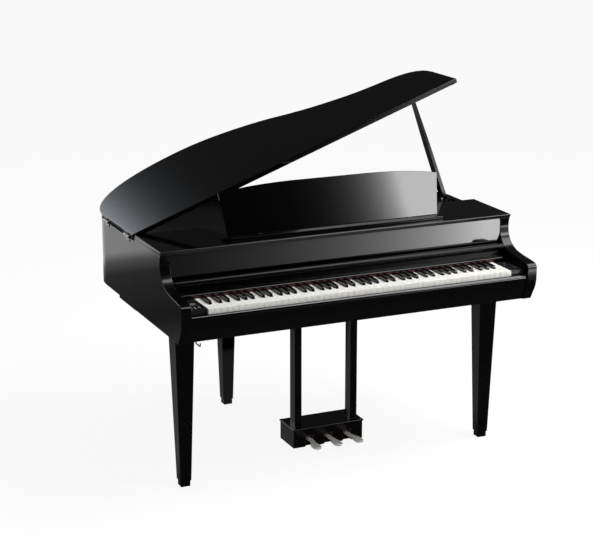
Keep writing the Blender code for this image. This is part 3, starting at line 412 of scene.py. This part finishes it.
# %% White key resin
ACRYLIC_IOR = 1.49
CLOUD = 0.030
key_white, tree, shader = new_material("moulded_white_key_resin", IOR=ACRYLIC_IOR)
place = add_node(tree, "ShaderNodeTexCoord").outputs["Object"]
cloud = add_node(tree, "ShaderNodeTexNoise", Vector=place, Scale=1 / CLOUD, Detail=2.0)
tone = add_node(tree, "ShaderNodeValToRGB", Fac=cloud.outputs["Fac"])
tone.color_ramp.elements[0].color = linear("f1efe9")
tone.color_ramp.elements[1].color = linear("f8f7f3")
tree.links.new(tone.outputs["Color"], shader.inputs["Base Color"])
touch = add_node(tree, "ShaderNodeMapRange", Value=cloud.outputs["Fac"], To_Min=0.22, To_Max=0.32)
tree.links.new(touch.outputs[0], shader.inputs["Roughness"])

# %% [markdown]
# ## Black keys
# Black keys are moulded with a fine grain along their length, which the fingers can feel, and are
# glossy enough to glint at their front ends. The grain is a noise 1.5 mm across, stretched along
# the key, which is coarser than the real one so that it shows.

# %% Black key resin
GRAIN = 0.0015
key_black, tree, shader = new_material("grained_black_key_resin",
                                       Base_Color=linear("050506"), IOR=ACRYLIC_IOR)
place = add_node(tree, "ShaderNodeTexCoord").outputs["Object"]
along = add_node(tree, "ShaderNodeMapping", Vector=place, Scale=(1.0, 0.08, 1.0))
grain = add_node(tree, "ShaderNodeTexNoise", Vector=along.outputs[0], Scale=1 / GRAIN, Detail=3.0)
furrow = add_node(tree, "ShaderNodeBump", Strength=0.08, Distance=0.0001,
                  Height=grain.outputs["Fac"])
tree.links.new(furrow.outputs[0], shader.inputs["Normal"])
matt = add_node(tree, "ShaderNodeMapRange", Value=grain.outputs["Fac"], To_Min=0.12, To_Max=0.20)
tree.links.new(matt.outputs[0], shader.inputs["Roughness"])

# %% [markdown]
# ## Felt
# A strip of wine-red wool felt runs behind the keys, and the pedals' slots are lined with it.
# Its red is drawn much darker than clean felt, as a painted shade for the strip, which lies in the
# shadow of the rail behind the keys; the slot linings share that dark red. Wool scatters light in
# its fuzz, so it has a sheen at its edges and no gloss. Its fibres are drawn about a millimetre
# long, which shows as a slight mottle.

# %% Felt
FIBRE = 0.0012
felt, tree, shader = new_material("pressed_red_wool_felt", Roughness=0.9, Sheen_Weight=0.15,
                                  Sheen_Roughness=0.5)
place = add_node(tree, "ShaderNodeTexCoord").outputs["Object"]
fuzz = add_node(tree, "ShaderNodeTexNoise", Vector=place, Scale=1 / FIBRE, Detail=4.0)
# Both reds are a painted shade for the rail's shadow, laid over the fibres' mottle.
dye_and_painted_shade = add_node(tree, "ShaderNodeValToRGB", Fac=fuzz.outputs["Fac"])
dye_and_painted_shade.color_ramp.elements[0].color = linear("2e0710")
dye_and_painted_shade.color_ramp.elements[1].color = linear("560f1c")
tree.links.new(dye_and_painted_shade.outputs["Color"], shader.inputs["Base Color"])
nap = add_node(tree, "ShaderNodeBump", Strength=0.5, Distance=0.0004, Height=fuzz.outputs["Fac"])
tree.links.new(nap.outputs[0], shader.inputs["Normal"])

# %% [markdown]
# ## Nickel plate
# The cup that takes the prop's head and the ring round the power button are nickel plated and
# buffed. That gives a warm, light metal that mirrors with a little blur, more in some places than
# in others, from 4 mm to 4 mm.

# %% Nickel plate
BUFFING = 0.004
nickel, tree, shader = new_material("polished_nickel_plate", Base_Color=linear("cfccc6"),
                                    Metallic=1.0)
place = add_node(tree, "ShaderNodeTexCoord").outputs["Object"]
buffed = add_node(tree, "ShaderNodeTexNoise", Vector=place, Scale=1 / BUFFING, Detail=3.0)
polish = add_node(tree, "ShaderNodeMapRange", Value=buffed.outputs["Fac"],
                  To_Min=0.16, To_Max=0.26)
tree.links.new(polish.outputs[0], shader.inputs["Roughness"])

# %% [markdown]
# ## The pedals' plate
# The pedals are cast, plated and brushed, and feet have worn them. Their fine scratches scatter
# light in all directions, so they stay bright in the shade of the case, where a mirror would only
# show the dark box in front of it. A metal that is part diffuse stands for that scatter.

# %% Worn pedal plate
SCRATCH = 0.0015
pedal_plate, tree, shader = new_material("worn_brushed_pedal_plate",
                                         Base_Color=linear("f3efe8"), Metallic=0.20)
place = add_node(tree, "ShaderNodeTexCoord").outputs["Object"]
length_ways = add_node(tree, "ShaderNodeMapping", Vector=place, Scale=(1.0, 0.06, 1.0))
scratches = add_node(tree, "ShaderNodeTexNoise", Vector=length_ways.outputs[0],
                     Scale=1 / SCRATCH, Detail=4.0)
worn = add_node(tree, "ShaderNodeMapRange", Value=scratches.outputs["Fac"],
                To_Min=0.24, To_Max=0.40)
tree.links.new(worn.outputs[0], shader.inputs["Roughness"])
scored = add_node(tree, "ShaderNodeBump", Strength=0.12, Distance=0.0001,
                  Height=scratches.outputs["Fac"])
tree.links.new(scored.outputs[0], shader.inputs["Normal"])

# %% [markdown]
# ## Zinc-plated steel
# The prop's bracket, the bail and hinge of the music rest, the pedal shaft, the keys' frame and
# all screws are plain steel under zinc: greyer than nickel, dull, and with fine lines from drawing
# or rolling. The leaves of the lid's hinges are as grey, so they get it too.

# %% Zinc-plated steel
DRAWN = 0.0020
zinc, tree, shader = new_material("zinc_plated_steel", Metallic=1.0)
place = add_node(tree, "ShaderNodeTexCoord").outputs["Object"]
lines = add_node(tree, "ShaderNodeMapping", Vector=place, Scale=(0.1, 1.0, 1.0))
drawn = add_node(tree, "ShaderNodeTexNoise", Vector=lines.outputs[0], Scale=1 / DRAWN, Detail=3.0)
spangle = add_node(tree, "ShaderNodeValToRGB", Fac=drawn.outputs["Fac"])
spangle.color_ramp.elements[0].color = linear("8f9093")
spangle.color_ramp.elements[1].color = linear("b4b5b7")
tree.links.new(spangle.outputs["Color"], shader.inputs["Base Color"])
dull = add_node(tree, "ShaderNodeMapRange", Value=drawn.outputs["Fac"], To_Min=0.30, To_Max=0.45)
tree.links.new(dull.outputs[0], shader.inputs["Roughness"])

# %% [markdown]
# ## Moulded ABS
# Buttons, the slider and the mains inlet are moulded ABS. The mould is spark eroded, which leaves
# tiny pits that keep the plastic from shining. They are drawn 0.6 mm apart, several times coarser
# than real ones, so that they show close up.

# %% Moulded ABS
SPARK = 0.0006
plastic, tree, shader = new_material("textured_black_abs", Base_Color=linear("1b1b1d"),
                                     Roughness=0.42)
place = add_node(tree, "ShaderNodeTexCoord").outputs["Object"]
spark = add_node(tree, "ShaderNodeTexNoise", Vector=place, Scale=1 / SPARK, Detail=1.0)
pits = add_node(tree, "ShaderNodeBump", Strength=0.3, Distance=0.00008,
                Height=spark.outputs["Fac"])
tree.links.new(pits.outputs[0], shader.inputs["Normal"])

# %% [markdown]
# ## Circuit board
# Inside the case the boards have green solder resist over glass cloth. Under the resist the copper
# tracks show as patches of a lighter green. Blocky cells 4 mm wide stand for them, which is enough
# for a part that is seen only when the case is opened up.

# %% Circuit board
TRACK = 0.004
board, tree, shader = new_material("green_solder_resist", Roughness=0.35)
place = add_node(tree, "ShaderNodeTexCoord").outputs["Object"]
tracks = add_node(tree, "ShaderNodeTexVoronoi", {"distance": 'MANHATTAN'}, Vector=place,
                  Scale=1 / TRACK)
resist = add_node(tree, "ShaderNodeValToRGB", Fac=tracks.outputs["Distance"])
resist.color_ramp.elements[0].color = linear("14502a")
resist.color_ramp.elements[1].color = linear("1f6b3a")
tree.links.new(resist.outputs["Color"], shader.inputs["Base Color"])

# %% [markdown]
# ## Rubber
# The lid closes on three buffers of black rubber. Rubber is matt, and dust settles in its pores,
# so its black is mottled with a slightly lighter grey every 3 mm or so.

# %% Rubber
DUST = 0.0030
rubber, tree, shader = new_material("moulded_black_rubber", Roughness=0.75)
place = add_node(tree, "ShaderNodeTexCoord").outputs["Object"]
dust = add_node(tree, "ShaderNodeTexNoise", Vector=place, Scale=1 / DUST, Detail=3.0)
dusty = add_node(tree, "ShaderNodeValToRGB", Fac=dust.outputs["Fac"])
dusty.color_ramp.elements[0].color = linear("141414")
dusty.color_ramp.elements[1].color = linear("262625")
tree.links.new(dusty.outputs["Color"], shader.inputs["Base Color"])

# %% [markdown]
# ## Printing ink
# The marks beside the controls are screen printed in a light grey ink, which lies on the plate as
# a thin dull film. The ink goes through a mesh, whose threads leave it slightly uneven every
# 0.4 mm.

# %% Printing ink
MESH = 0.0004
ink, tree, shader = new_material("screen_printed_grey_ink", Roughness=0.6)
place = add_node(tree, "ShaderNodeTexCoord").outputs["Object"]
mesh_marks = add_node(tree, "ShaderNodeTexNoise", Vector=place, Scale=1 / MESH, Detail=1.0)
film = add_node(tree, "ShaderNodeValToRGB", Fac=mesh_marks.outputs["Fac"])
film.color_ramp.elements[0].color = linear("a9aaac")
film.color_ramp.elements[1].color = linear("c9cacc")
tree.links.new(film.outputs["Color"], shader.inputs["Base Color"])

# %% [markdown]
# ## Paper
# A loudspeaker's cone is pressed from paper pulp that is dyed black. Its fibres lie in clumps of
# two or three millimetres that took the dye unevenly, and nothing on it shines.

# %% Paper cone
PULP = 0.0025
cone, tree, shader = new_material("pressed_black_paper", Roughness=0.85)
place = add_node(tree, "ShaderNodeTexCoord").outputs["Object"]
pulp = add_node(tree, "ShaderNodeTexNoise", Vector=place, Scale=1 / PULP, Detail=5.0)
shade = add_node(tree, "ShaderNodeValToRGB", Fac=pulp.outputs["Fac"])
shade.color_ramp.elements[0].color = linear("1c1c1e")
shade.color_ramp.elements[1].color = linear("303034")
tree.links.new(shade.outputs["Color"], shader.inputs["Base Color"])

# %% [markdown]
# ## Finishes on the frame
# The record names a finish slot for every node, so one table from slot to material dresses all of
# them at once. A second, shorter table changes the few pieces that look different from the rest
# of their slot.

# %% Give each node its finish
FINISHES = {"black_lacquer": lacquer, "satin_black_board": satin, "white_key_resin": key_white,
            "black_key_resin": key_black, "red_felt": felt, "nickel": nickel, "zinc_steel": zinc,
            "black_plastic": plastic, "circuit_board": board, "speaker": cone}
SLOTS = {part["node"]: part["material_slot"] for part in frame["record"]["subparts"]}
PEDALS = ("pedal_left", "pedal_middle", "pedal_right")
EXCEPTIONS = ((rubbed, ("pedal_box", "key_rail", "lid_prop")), (handled, ("key_cover",)),
              (plastic, ("headphone_hanger",)), (pedal_plate, PEDALS),
              (zinc, ("hinge_leaf_case_front", "hinge_leaf_case_rear",
                      "hinge_leaf_lid_front", "hinge_leaf_lid_rear")))
for name, slot in SLOTS.items():
    node = frame["nodes"][name]
    node.data.materials.clear()
    node.data.materials.append(FINISHES[slot])
for finish, names in EXCEPTIONS:
    for name in names:
        frame["nodes"][name].data.materials[0] = finish
print("dressed", len(SLOTS), "nodes")

# %% [markdown]
# ## Softened edges
# No edge of the real instrument is sharp: lacquer is sprayed over rounded wood, and key tops are
# moulded with a small radius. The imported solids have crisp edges, so the larger visible ones are
# copied. Each copy is merged, its flat faces are joined again, and its sharp edges get a round
# bevel. Smooth shading alone would bend the mirror image on the flat faces near the bevel, so the
# normals are weighted by face area. The copy takes the solid's place and rides on the same body.

# %% Round the edges of a solid
MERGE_DISTANCE = 0.00001
FLAT_ENOUGH = math.radians(0.5)
SHARP_CORNER = math.radians(35.0)
SMOOTH_CURVE = math.radians(50.0)
FULL_WEIGHT = 100


def pick_only(piece):
    """Selects one object and nothing else, and makes it the active one."""
    bpy.ops.object.select_all(action='DESELECT')
    piece.select_set(True)
    bpy.context.view_layer.objects.active = piece


def softened(node, width, steps):
    """A copy of a node with its sharp edges rounded, in the node's place."""
    solid = frame["nodes"][node]
    piece = bpy.data.objects.new(node + "_soft_edged", solid.data.copy())
    bpy.context.scene.collection.objects.link(piece)
    pick_only(piece)
    bpy.ops.object.mode_set(mode='EDIT')
    bpy.ops.mesh.select_mode(type='EDGE')
    bpy.ops.mesh.select_all(action='SELECT')
    bpy.ops.mesh.remove_doubles(threshold=MERGE_DISTANCE)
    bpy.ops.mesh.dissolve_limited(angle_limit=FLAT_ENOUGH)
    bpy.ops.mesh.select_all(action='DESELECT')
    bpy.ops.mesh.edges_select_sharp(sharpness=SHARP_CORNER)
    bpy.ops.mesh.bevel(offset=width, segments=steps, clamp_overlap=True)
    bpy.ops.object.mode_set(mode='OBJECT')
    bpy.ops.object.shade_smooth_by_angle(angle=SMOOTH_CURVE)
    weighted = piece.modifiers.new("flat_faces_stay_flat", 'WEIGHTED_NORMAL')
    weighted.weight = FULL_WEIGHT
    weighted.keep_sharp = True
    bpy.ops.object.modifier_apply(modifier=weighted.name)
    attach(piece, solid["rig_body"])
    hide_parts(node)
    print(piece.name, len(piece.data.polygons), "faces")
    return piece


# %% [markdown]
# ## How round each piece is
# The lid's edge is moulded to a full nose, so it gets the widest bevel and the most steps. The rim
# is bent from thick board and rounded by hand, boards and panels have only a broken edge, and the
# keys are rounded just enough to catch a line of light. The front panel keeps its crisp solid,
# because all its edges are covered.

# %% Soften the visible pieces
LID_ROUND, LID_STEPS = 0.0070, 4
RIM_ROUND, RIM_STEPS = 0.0015, 3
BOARD_ROUND, LEG_ROUND, PEDAL_ROUND = 0.0008, 0.0010, 0.0012
WHITE_ROUND, BLACK_ROUND = 0.0006, 0.0008
FEW_STEPS = 2
OCTAVES = range(1, 8)
softened("lid", LID_ROUND, LID_STEPS)
boards = {name: softened(name, BOARD_ROUND, FEW_STEPS)
          for name in ("cheek_left", "cheek_right", "top_board", "key_slip", "key_cover",
                       "key_rail", "lyre", "pedal_box", "music_rest", "music_ledge")}
softened("rim", RIM_ROUND, RIM_STEPS)
for name in ("leg_front_left", "leg_front_right", "leg_rear"):
    softened(name, LEG_ROUND, FEW_STEPS)
for name in PEDALS:
    softened(name, PEDAL_ROUND, FEW_STEPS)
for octave in OCTAVES:
    softened(f"keys_white_{octave}", WHITE_ROUND, FEW_STEPS)
    softened(f"keys_black_{octave}", BLACK_ROUND, FEW_STEPS)

# %% [markdown]
# ## The fixed board's underside
# Only what is meant to be seen is polished. Under the fixed board the lacquer is left as sprayed,
# also on the slope below its nose, so that it doesn't mirror the keys as a row of dashes. One mesh
# can hold two materials: the faces that look down get the second one.

# %% Leave the underside unpolished
LOOKS_DOWN = -0.05
boards["top_board"].data.materials.append(satin)
underside = [face for face in boards["top_board"].data.polygons if face.normal.z < LOOKS_DOWN]
for face in underside:
    face.material_index = 1
print("fixed board", len(underside), "unpolished faces")

# %% [markdown]
# ## The cheeks' narrow faces
# A polishing wheel can't follow the hollow curve at the front of a cheek, so that narrow face is
# rubbed down by hand. What it mirrors is blurred into one soft band, while the flat sides keep
# their full gloss. The flat sides look to the left or right, and all other faces are narrow ones.

# %% Rub down the curved fronts
LOOKS_SIDEWAYS = 0.5
for name in ("cheek_left", "cheek_right"):
    boards[name].data.materials.append(rubbed)
    curved = [face for face in boards[name].data.polygons if abs(face.normal.x) < LOOKS_SIDEWAYS]
    for face in curved:
        face.material_index = 1
    print(name, len(curved), "rubbed faces")

# %% [markdown]
# ## Small pieces by hand
# The next pieces are too small for the solids, so they are made here, each from a primitive that is
# added at its size and shaped in edit mode. Afterwards each mesh holds its own place: the object is
# set back to the origin, unturned and unscaled. Faces are picked by the way that they look.

# %% Helpers for small pieces
SQUARELY = 0.9


def pick_faces(piece, wanted):
    """In edit mode, selects the faces for which wanted(face) is true, and no others."""
    bpy.ops.mesh.select_mode(type='FACE')
    bpy.ops.mesh.select_all(action='DESELECT')
    shape = bmesh.from_edit_mesh(piece.data)
    for face in shape.faces:
        face.select_set(bool(wanted(face)))
    bmesh.update_edit_mesh(piece.data)


def finished(piece, name, finish, body):
    """Names a piece, gives it its finish and its body, and sets it at the origin."""
    pick_only(piece)
    bpy.ops.object.transform_apply(location=True, rotation=True, scale=True)
    bpy.ops.object.shade_smooth_by_angle(angle=SHARP_CORNER)
    piece.name = name
    piece.data.name = name
    piece.data.materials.clear()
    piece.data.materials.append(finish)
    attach(piece, body)
    return piece


# %% [markdown]
# ## Blocks, rounding and copies
# Plates, glass and printed marks all start as a block between two corners, whose edges are bevelled
# in edit mode. Walls and rings are rounded at the end instead, by a Bevel modifier that is applied.
# What repeats is copied, and each copy gets a mesh of its own.

# %% Helpers for blocks and copies
def rounded_block(low, high, edge, steps=2):
    """A block between two corners, with its edges rounded."""
    low, high = Vector(low), Vector(high)
    bpy.ops.object.select_all(action='DESELECT')
    bpy.ops.mesh.primitive_cube_add(size=1.0, location=(low + high) / 2, scale=high - low)
    bpy.ops.object.transform_apply(location=True, rotation=False, scale=True)
    bpy.ops.object.mode_set(mode='EDIT')
    bpy.ops.mesh.select_all(action='SELECT')
    bpy.ops.mesh.bevel(offset=edge, segments=steps)
    bpy.ops.object.mode_set(mode='OBJECT')
    return bpy.context.object


def round_off(piece, width):
    """Rounds the edges of the active piece with a Bevel modifier, which is applied."""
    rounding = piece.modifiers.new("rounded", 'BEVEL')
    rounding.width = width
    rounding.segments = 2
    bpy.ops.object.modifier_apply(modifier=rounding.name)


def copied(piece):
    """A copy of a piece with a mesh of its own."""
    twin = bpy.data.objects.new(piece.name, piece.data.copy())
    bpy.context.scene.collection.objects.link(twin)
    return twin


# %% [markdown]
# ## Screws
# Every metal fitting is screwed on. A screw head here is a short cylinder whose top is raised to a
# low crown and has a round recess sunk in it. One is modelled, upright at the origin, and copied
# for each place, turned to stand out from its face.

# %% One screw head
SCREW_RADIUS = 0.0028
SCREW_RISE = 0.0008
SCREW_SIDES = 18
CROWN_INSET = SCREW_RADIUS * 0.25
CROWN_RISE = SCREW_RISE * 0.5
RECESS_INSET = SCREW_RADIUS * 0.30
bpy.ops.object.select_all(action='DESELECT')
bpy.ops.mesh.primitive_cylinder_add(vertices=SCREW_SIDES, radius=SCREW_RADIUS, depth=SCREW_RISE,
                                    location=(0.0, 0.0, SCREW_RISE / 2))
screw_head = bpy.context.object
bpy.ops.object.transform_apply(location=True, rotation=True, scale=True)
bpy.ops.object.mode_set(mode='EDIT')
pick_faces(screw_head, lambda face: face.normal.z > SQUARELY)
bpy.ops.mesh.inset(thickness=CROWN_INSET)
bpy.ops.transform.translate(value=(0.0, 0.0, CROWN_RISE))
bpy.ops.mesh.inset(thickness=RECESS_INSET)
bpy.ops.mesh.extrude_region_move(TRANSFORM_OT_translate={"value": (0.0, 0.0, -SCREW_RISE)})
bpy.ops.object.mode_set(mode='OBJECT')
print("screw head", len(screw_head.data.polygons), "faces")

# %% [markdown]
# ## The open lid
# The lid stands open on its prop, turned about the line of its hinges. What belongs to it is easier
# to place on the closed lid, where it lies level, so such pieces are made there and then turned
# with it. The turn is a move of the hinge line to the origin, a rotation, and the move back.

# %% The lid's turn, and a screw in its place
LID_OPEN = math.radians(20.1)
HINGE_LINE = Vector((-0.71463, 0.0, 0.887))
OPENED = (Matrix.Translation(HINGE_LINE) @ Matrix.Rotation(-LID_OPEN, 4, 'Y')
          @ Matrix.Translation(-HINGE_LINE))
UPWARDS = Vector((0.0, 0.0, 1.0))
TO_BASS_SIDE = Vector((-1.0, 0.0, 0.0))


def screw(name, place, outwards, body, turn=Matrix.Identity(4)):
    """A screw head that stands out from a face; turn is the lid's, where it sits on the lid."""
    head = copied(screw_head)
    stand = UPWARDS.rotation_difference(outwards).to_matrix().to_4x4()
    head.data.transform(turn @ Matrix.Translation(place) @ stand)
    return finished(head, name, zinc, body)


print("lid opened by", round(math.degrees(LID_OPEN), 1), "degrees")

# %% [markdown]
# ## Where the screws go
# Each hinge leaf has two, on the case's side and on the lid's edge. The prop's bracket has two on
# the rim's inner face, and the cover of the pedal box one at each corner. The places of the last
# two kinds start from the boxes of those solids, so the screws stay with them.

# %% Screws in their places
LEAF_FACE = -0.7126
LEAF_MIDDLES = (("front", -0.0065), ("rear", 0.2385))
LEAF_SPREAD = (-0.020, 0.020)
CASE_SCREW_HEIGHT = 0.8735
LID_SCREW_HEIGHT = 0.9005
for end, middle in LEAF_MIDDLES:
    for number, shift in enumerate(LEAF_SPREAD):
        screw(f"case_hinge_screw_{end}_{number + 1}",
              (LEAF_FACE, middle + shift, CASE_SCREW_HEIGHT), TO_BASS_SIDE, "case")
        screw(f"lid_hinge_screw_{end}_{number + 1}",
              (LEAF_FACE, middle + shift, LID_SCREW_HEIGHT), TO_BASS_SIDE, "lid", OPENED)

BRACKET_PLATE = 0.0025
BRACKET_SCREW_HEIGHT = 0.872
bracket_low, bracket_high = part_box("prop_bracket")
for number, y in enumerate((bracket_low.y + 0.008, bracket_low.y + 0.021)):
    screw(f"bracket_screw_{number + 1}",
          (bracket_high.x - BRACKET_PLATE, y, BRACKET_SCREW_HEIGHT), TO_BASS_SIDE, "case")

COVER_TOP = 0.110
FROM_ENDS, FROM_SIDES = 0.010, 0.012
cover_low, cover_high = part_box("lyre")
cover_corners = [(x, y) for y in (cover_low.y + FROM_SIDES, cover_high.y - FROM_SIDES)
                 for x in (cover_low.x + FROM_ENDS, cover_high.x - FROM_ENDS)]
for number, (x, y) in enumerate(cover_corners):
    screw(f"box_cover_screw_{number + 1}", (x, y, COVER_TOP), UPWARDS, "case")
bpy.data.objects.remove(screw_head, do_unlink=True)

# %% [markdown]
# ## Lid buffers
# Three rubber buttons under the lid keep lacquer from meeting lacquer when it is shut. Each is a
# low cone with a rounded rim and a sunk hole for the nail that holds it. One is modelled with its
# wide end at the origin: its lower end is bevelled, then the flat middle is inset and pushed in.

# %% One buffer
BUFFER_RADIUS = 0.0075
BUFFER_TIP_RADIUS = BUFFER_RADIUS * 0.82
BUFFER_DEPTH = 0.0052
BUFFER_SIDES = 28
BUFFER_ROUND = 0.0009
NAIL_WALL = BUFFER_RADIUS * 0.45
NAIL_DEPTH = 0.0015
FLAT_MIDDLE_AREA = 0.00005
bpy.ops.object.select_all(action='DESELECT')
bpy.ops.mesh.primitive_cone_add(vertices=BUFFER_SIDES, radius1=BUFFER_TIP_RADIUS,
                                radius2=BUFFER_RADIUS, depth=BUFFER_DEPTH,
                                location=(0.0, 0.0, -BUFFER_DEPTH / 2))
buffer = bpy.context.object
bpy.ops.object.transform_apply(location=True, rotation=True, scale=True)
bpy.ops.object.mode_set(mode='EDIT')
pick_faces(buffer, lambda face: face.normal.z < -SQUARELY)
bpy.ops.mesh.bevel(offset=BUFFER_ROUND, segments=3)
pick_faces(buffer, lambda face: (face.normal.z < -SQUARELY
                                 and face.calc_area() > FLAT_MIDDLE_AREA))
bpy.ops.mesh.inset(thickness=NAIL_WALL)
bpy.ops.mesh.extrude_region_move(TRANSFORM_OT_translate={"value": (0.0, 0.0, NAIL_DEPTH)})
bpy.ops.object.mode_set(mode='OBJECT')
print("buffer", len(buffer.data.polygons), "faces")

# %% [markdown]
# ## Where the buffers go
# One sits near the prop, one on the bent side and one at the tail, where they meet the rim. Each
# copy is set against the underside of the closed lid and then turned with the lid.

# %% Buffers in their places
LID_UNDERSIDE = 0.889
BUFFER_PLACES = ((0.7044, -0.0675), (0.4884, 0.2585), (-0.2376, 0.5615))
for number, (x, y) in enumerate(BUFFER_PLACES):
    placed = copied(buffer)
    placed.data.transform(OPENED @ Matrix.Translation((x, y, LID_UNDERSIDE)))
    finished(placed, f"lid_buffer_{number + 1}", rubber, "lid")
bpy.data.objects.remove(buffer, do_unlink=True)
print(len(BUFFER_PLACES), "buffers under the lid")

# %% [markdown]
# ## Felt in the pedals' slots
# Each pedal comes out through a slot with a lining of red felt along its sides and top, so that it
# never knocks. The lining is a block as big as the slot with its front, back and bottom taken off,
# and the three walls that are left are given their thickness. One is made and copied for each slot.

# %% Slot linings
SLOT_HALF = 0.0180
SLOT_TOP = 0.0760
SLOT_BOTTOM = 0.0335
SLOT_FRONT = -0.2393
SLOT_BACK = -0.2268
GLUE_GAP = 0.0001
FELT_THICK = 0.0022
FELT_ROUND = 0.0004
PEDAL_MIDDLES = {"pedal_left": -0.07063, "pedal_middle": 0.00937, "pedal_right": 0.08937}
low = Vector((GLUE_GAP - SLOT_HALF, SLOT_FRONT, SLOT_BOTTOM))
high = Vector((SLOT_HALF - GLUE_GAP, SLOT_BACK, SLOT_TOP - GLUE_GAP))
bpy.ops.object.select_all(action='DESELECT')
bpy.ops.mesh.primitive_cube_add(size=1.0, location=(low + high) / 2, scale=high - low)
lining = bpy.context.object
bpy.ops.object.transform_apply(location=True, rotation=False, scale=True)
bpy.ops.object.mode_set(mode='EDIT')
pick_faces(lining, lambda face: abs(face.normal.y) > SQUARELY or face.normal.z < -SQUARELY)
bpy.ops.mesh.delete(type='FACE')
bpy.ops.object.mode_set(mode='OBJECT')
wall = lining.modifiers.new("thickness", 'SOLIDIFY')
wall.thickness = FELT_THICK
wall.offset = -1.0
bpy.ops.object.modifier_apply(modifier=wall.name)
round_off(lining, FELT_ROUND)
for name, x in PEDAL_MIDDLES.items():
    placed = copied(lining)
    placed.data.transform(Matrix.Translation((x, 0.0, 0.0)))
    finished(placed, name + "_slot_lining", felt, "case")
bpy.data.objects.remove(lining, do_unlink=True)
print(len(PEDAL_MIDDLES), "slots lined")

# %% [markdown]
# ## The plate on the left block
# A thin black plate on the left block carries the two round buttons and a small display behind a
# pane. Plate and pane are blocks with softened edges, and the pane is sunk a little into the plate,
# as a real one is glued into a recess.

# %% Display plate
BLOCK_TOP = 0.736
PLATE_RISE = 0.0010
PLATE_ROUND = 0.0004
GLASS_SUNK = 0.0002
GLASS_RISE = 0.0006
GLASS_ROUND = 0.0003
plate = rounded_block((-0.6635, -0.5340, BLOCK_TOP),
                      (-0.6095, -0.4550, BLOCK_TOP + PLATE_RISE), PLATE_ROUND)
finished(plate, "display_plate", lacquer, "case")
glass = rounded_block((-0.6575, -0.5000, BLOCK_TOP + PLATE_RISE - GLASS_SUNK),
                      (-0.6155, -0.4640, BLOCK_TOP + PLATE_RISE + GLASS_RISE), GLASS_ROUND)
finished(glass, "display_glass", plastic, "case")
print("display", [round(side, 3) for side in glass.dimensions], "m")

# %% [markdown]
# ## Printed marks
# Marks are printed beside the buttons, on the pane, and as a scale beside the slider, longer at its
# ends and middle. They are plain bars, not words. A picture of them could be laid on the plate, but
# a thin block of ink for each stays sharp from close up and needs no image.

# %% A printed bar
MARK_RISE = 0.00012
MARK_ROUND = MARK_RISE * 0.4


def mark(name, x, y, width, depth, height):
    """A printed bar, a film of ink with softened edges."""
    low = (x - width / 2, y - depth / 2, height)
    high = (x + width / 2, y + depth / 2, height + MARK_RISE)
    return finished(rounded_block(low, high, MARK_ROUND, 1), name, ink, "case")


# %% [markdown]
# ## Marks in rows
# The bars on the plate stand in four rows of three, and their lengths differ as words would. On
# the pane three lines get shorter from row to row. On the right block nine marks, 4.25 mm apart,
# make the slider's scale, and every fourth one is longer.

# %% Marks on both blocks
PLATE_ROWS = (-0.5100, -0.5170, -0.5240, -0.5300)
PLATE_COLUMNS = (-0.6540, -0.6400, -0.6240)
PLATE_MARK, PLATE_MARK_LESS, PLATE_MARK_DEPTH = 0.0085, 0.0015, 0.0016
LINE_ROWS = (-0.4700, -0.4780, -0.4860)
LINE_MIDDLE, LINE_LENGTH, LINE_LESS, LINE_DEPTH = -0.6365, 0.0320, 0.0070, 0.0018
SCALE_MARKS, SCALE_STEP, SCALE_START, SCALE_X = 9, 0.00425, -0.5125, 0.6610
SHORT_MARK, LONG_MARK, SCALE_DEPTH = 0.0030, 0.0050, 0.0007
for row, y in enumerate(PLATE_ROWS):
    for column, x in enumerate(PLATE_COLUMNS):
        mark(f"plate_mark_{row + 1}_{column + 1}", x, y,
             PLATE_MARK - PLATE_MARK_LESS * ((row + column) % 3), PLATE_MARK_DEPTH,
             BLOCK_TOP + PLATE_RISE)
for row, y in enumerate(LINE_ROWS):
    mark(f"display_line_{row + 1}", LINE_MIDDLE, y, LINE_LENGTH - LINE_LESS * row, LINE_DEPTH,
         BLOCK_TOP + PLATE_RISE + GLASS_RISE)
for step in range(SCALE_MARKS):
    length = LONG_MARK if step % 4 == 0 else SHORT_MARK
    mark(f"volume_mark_{step + 1}", SCALE_X + (length - SHORT_MARK) / 2,
         SCALE_START + SCALE_STEP * step, length, SCALE_DEPTH, BLOCK_TOP)
print(len(PLATE_ROWS) * len(PLATE_COLUMNS) + len(LINE_ROWS) + SCALE_MARKS, "printed marks")

# %% [markdown]
# ## Ring round the power button
# A narrow nickel ring lies on the right block round the power button. It starts as a cylinder
# whose two end faces are inset and then bridged, which opens the hole between them. Bridging can
# leave the new wall inside out, so the normals are worked out again before the edges are rounded.

# %% Ring
RING_MIDDLE = (0.65037, -0.4455)
RING_RADIUS = 0.0088
RING_RISE = 0.0012
RING_WIDTH = 0.0019
RING_ROUND = 0.0003
RING_SIDES = 40
bpy.ops.object.select_all(action='DESELECT')
bpy.ops.mesh.primitive_cylinder_add(vertices=RING_SIDES, radius=RING_RADIUS, depth=RING_RISE,
                                    location=(*RING_MIDDLE, BLOCK_TOP + RING_RISE / 2))
ring = bpy.context.object
bpy.ops.object.transform_apply(location=True, rotation=True, scale=True)
bpy.ops.object.mode_set(mode='EDIT')
pick_faces(ring, lambda face: abs(face.normal.z) > SQUARELY)
bpy.ops.mesh.inset(thickness=RING_WIDTH)
bpy.ops.mesh.bridge_edge_loops()
bpy.ops.mesh.select_all(action='SELECT')
bpy.ops.mesh.normals_make_consistent(inside=False)
bpy.ops.object.mode_set(mode='OBJECT')
round_off(ring, RING_ROUND)
finished(ring, "power_button_ring", nickel, "case")
print("ring", len(ring.data.polygons), "faces")
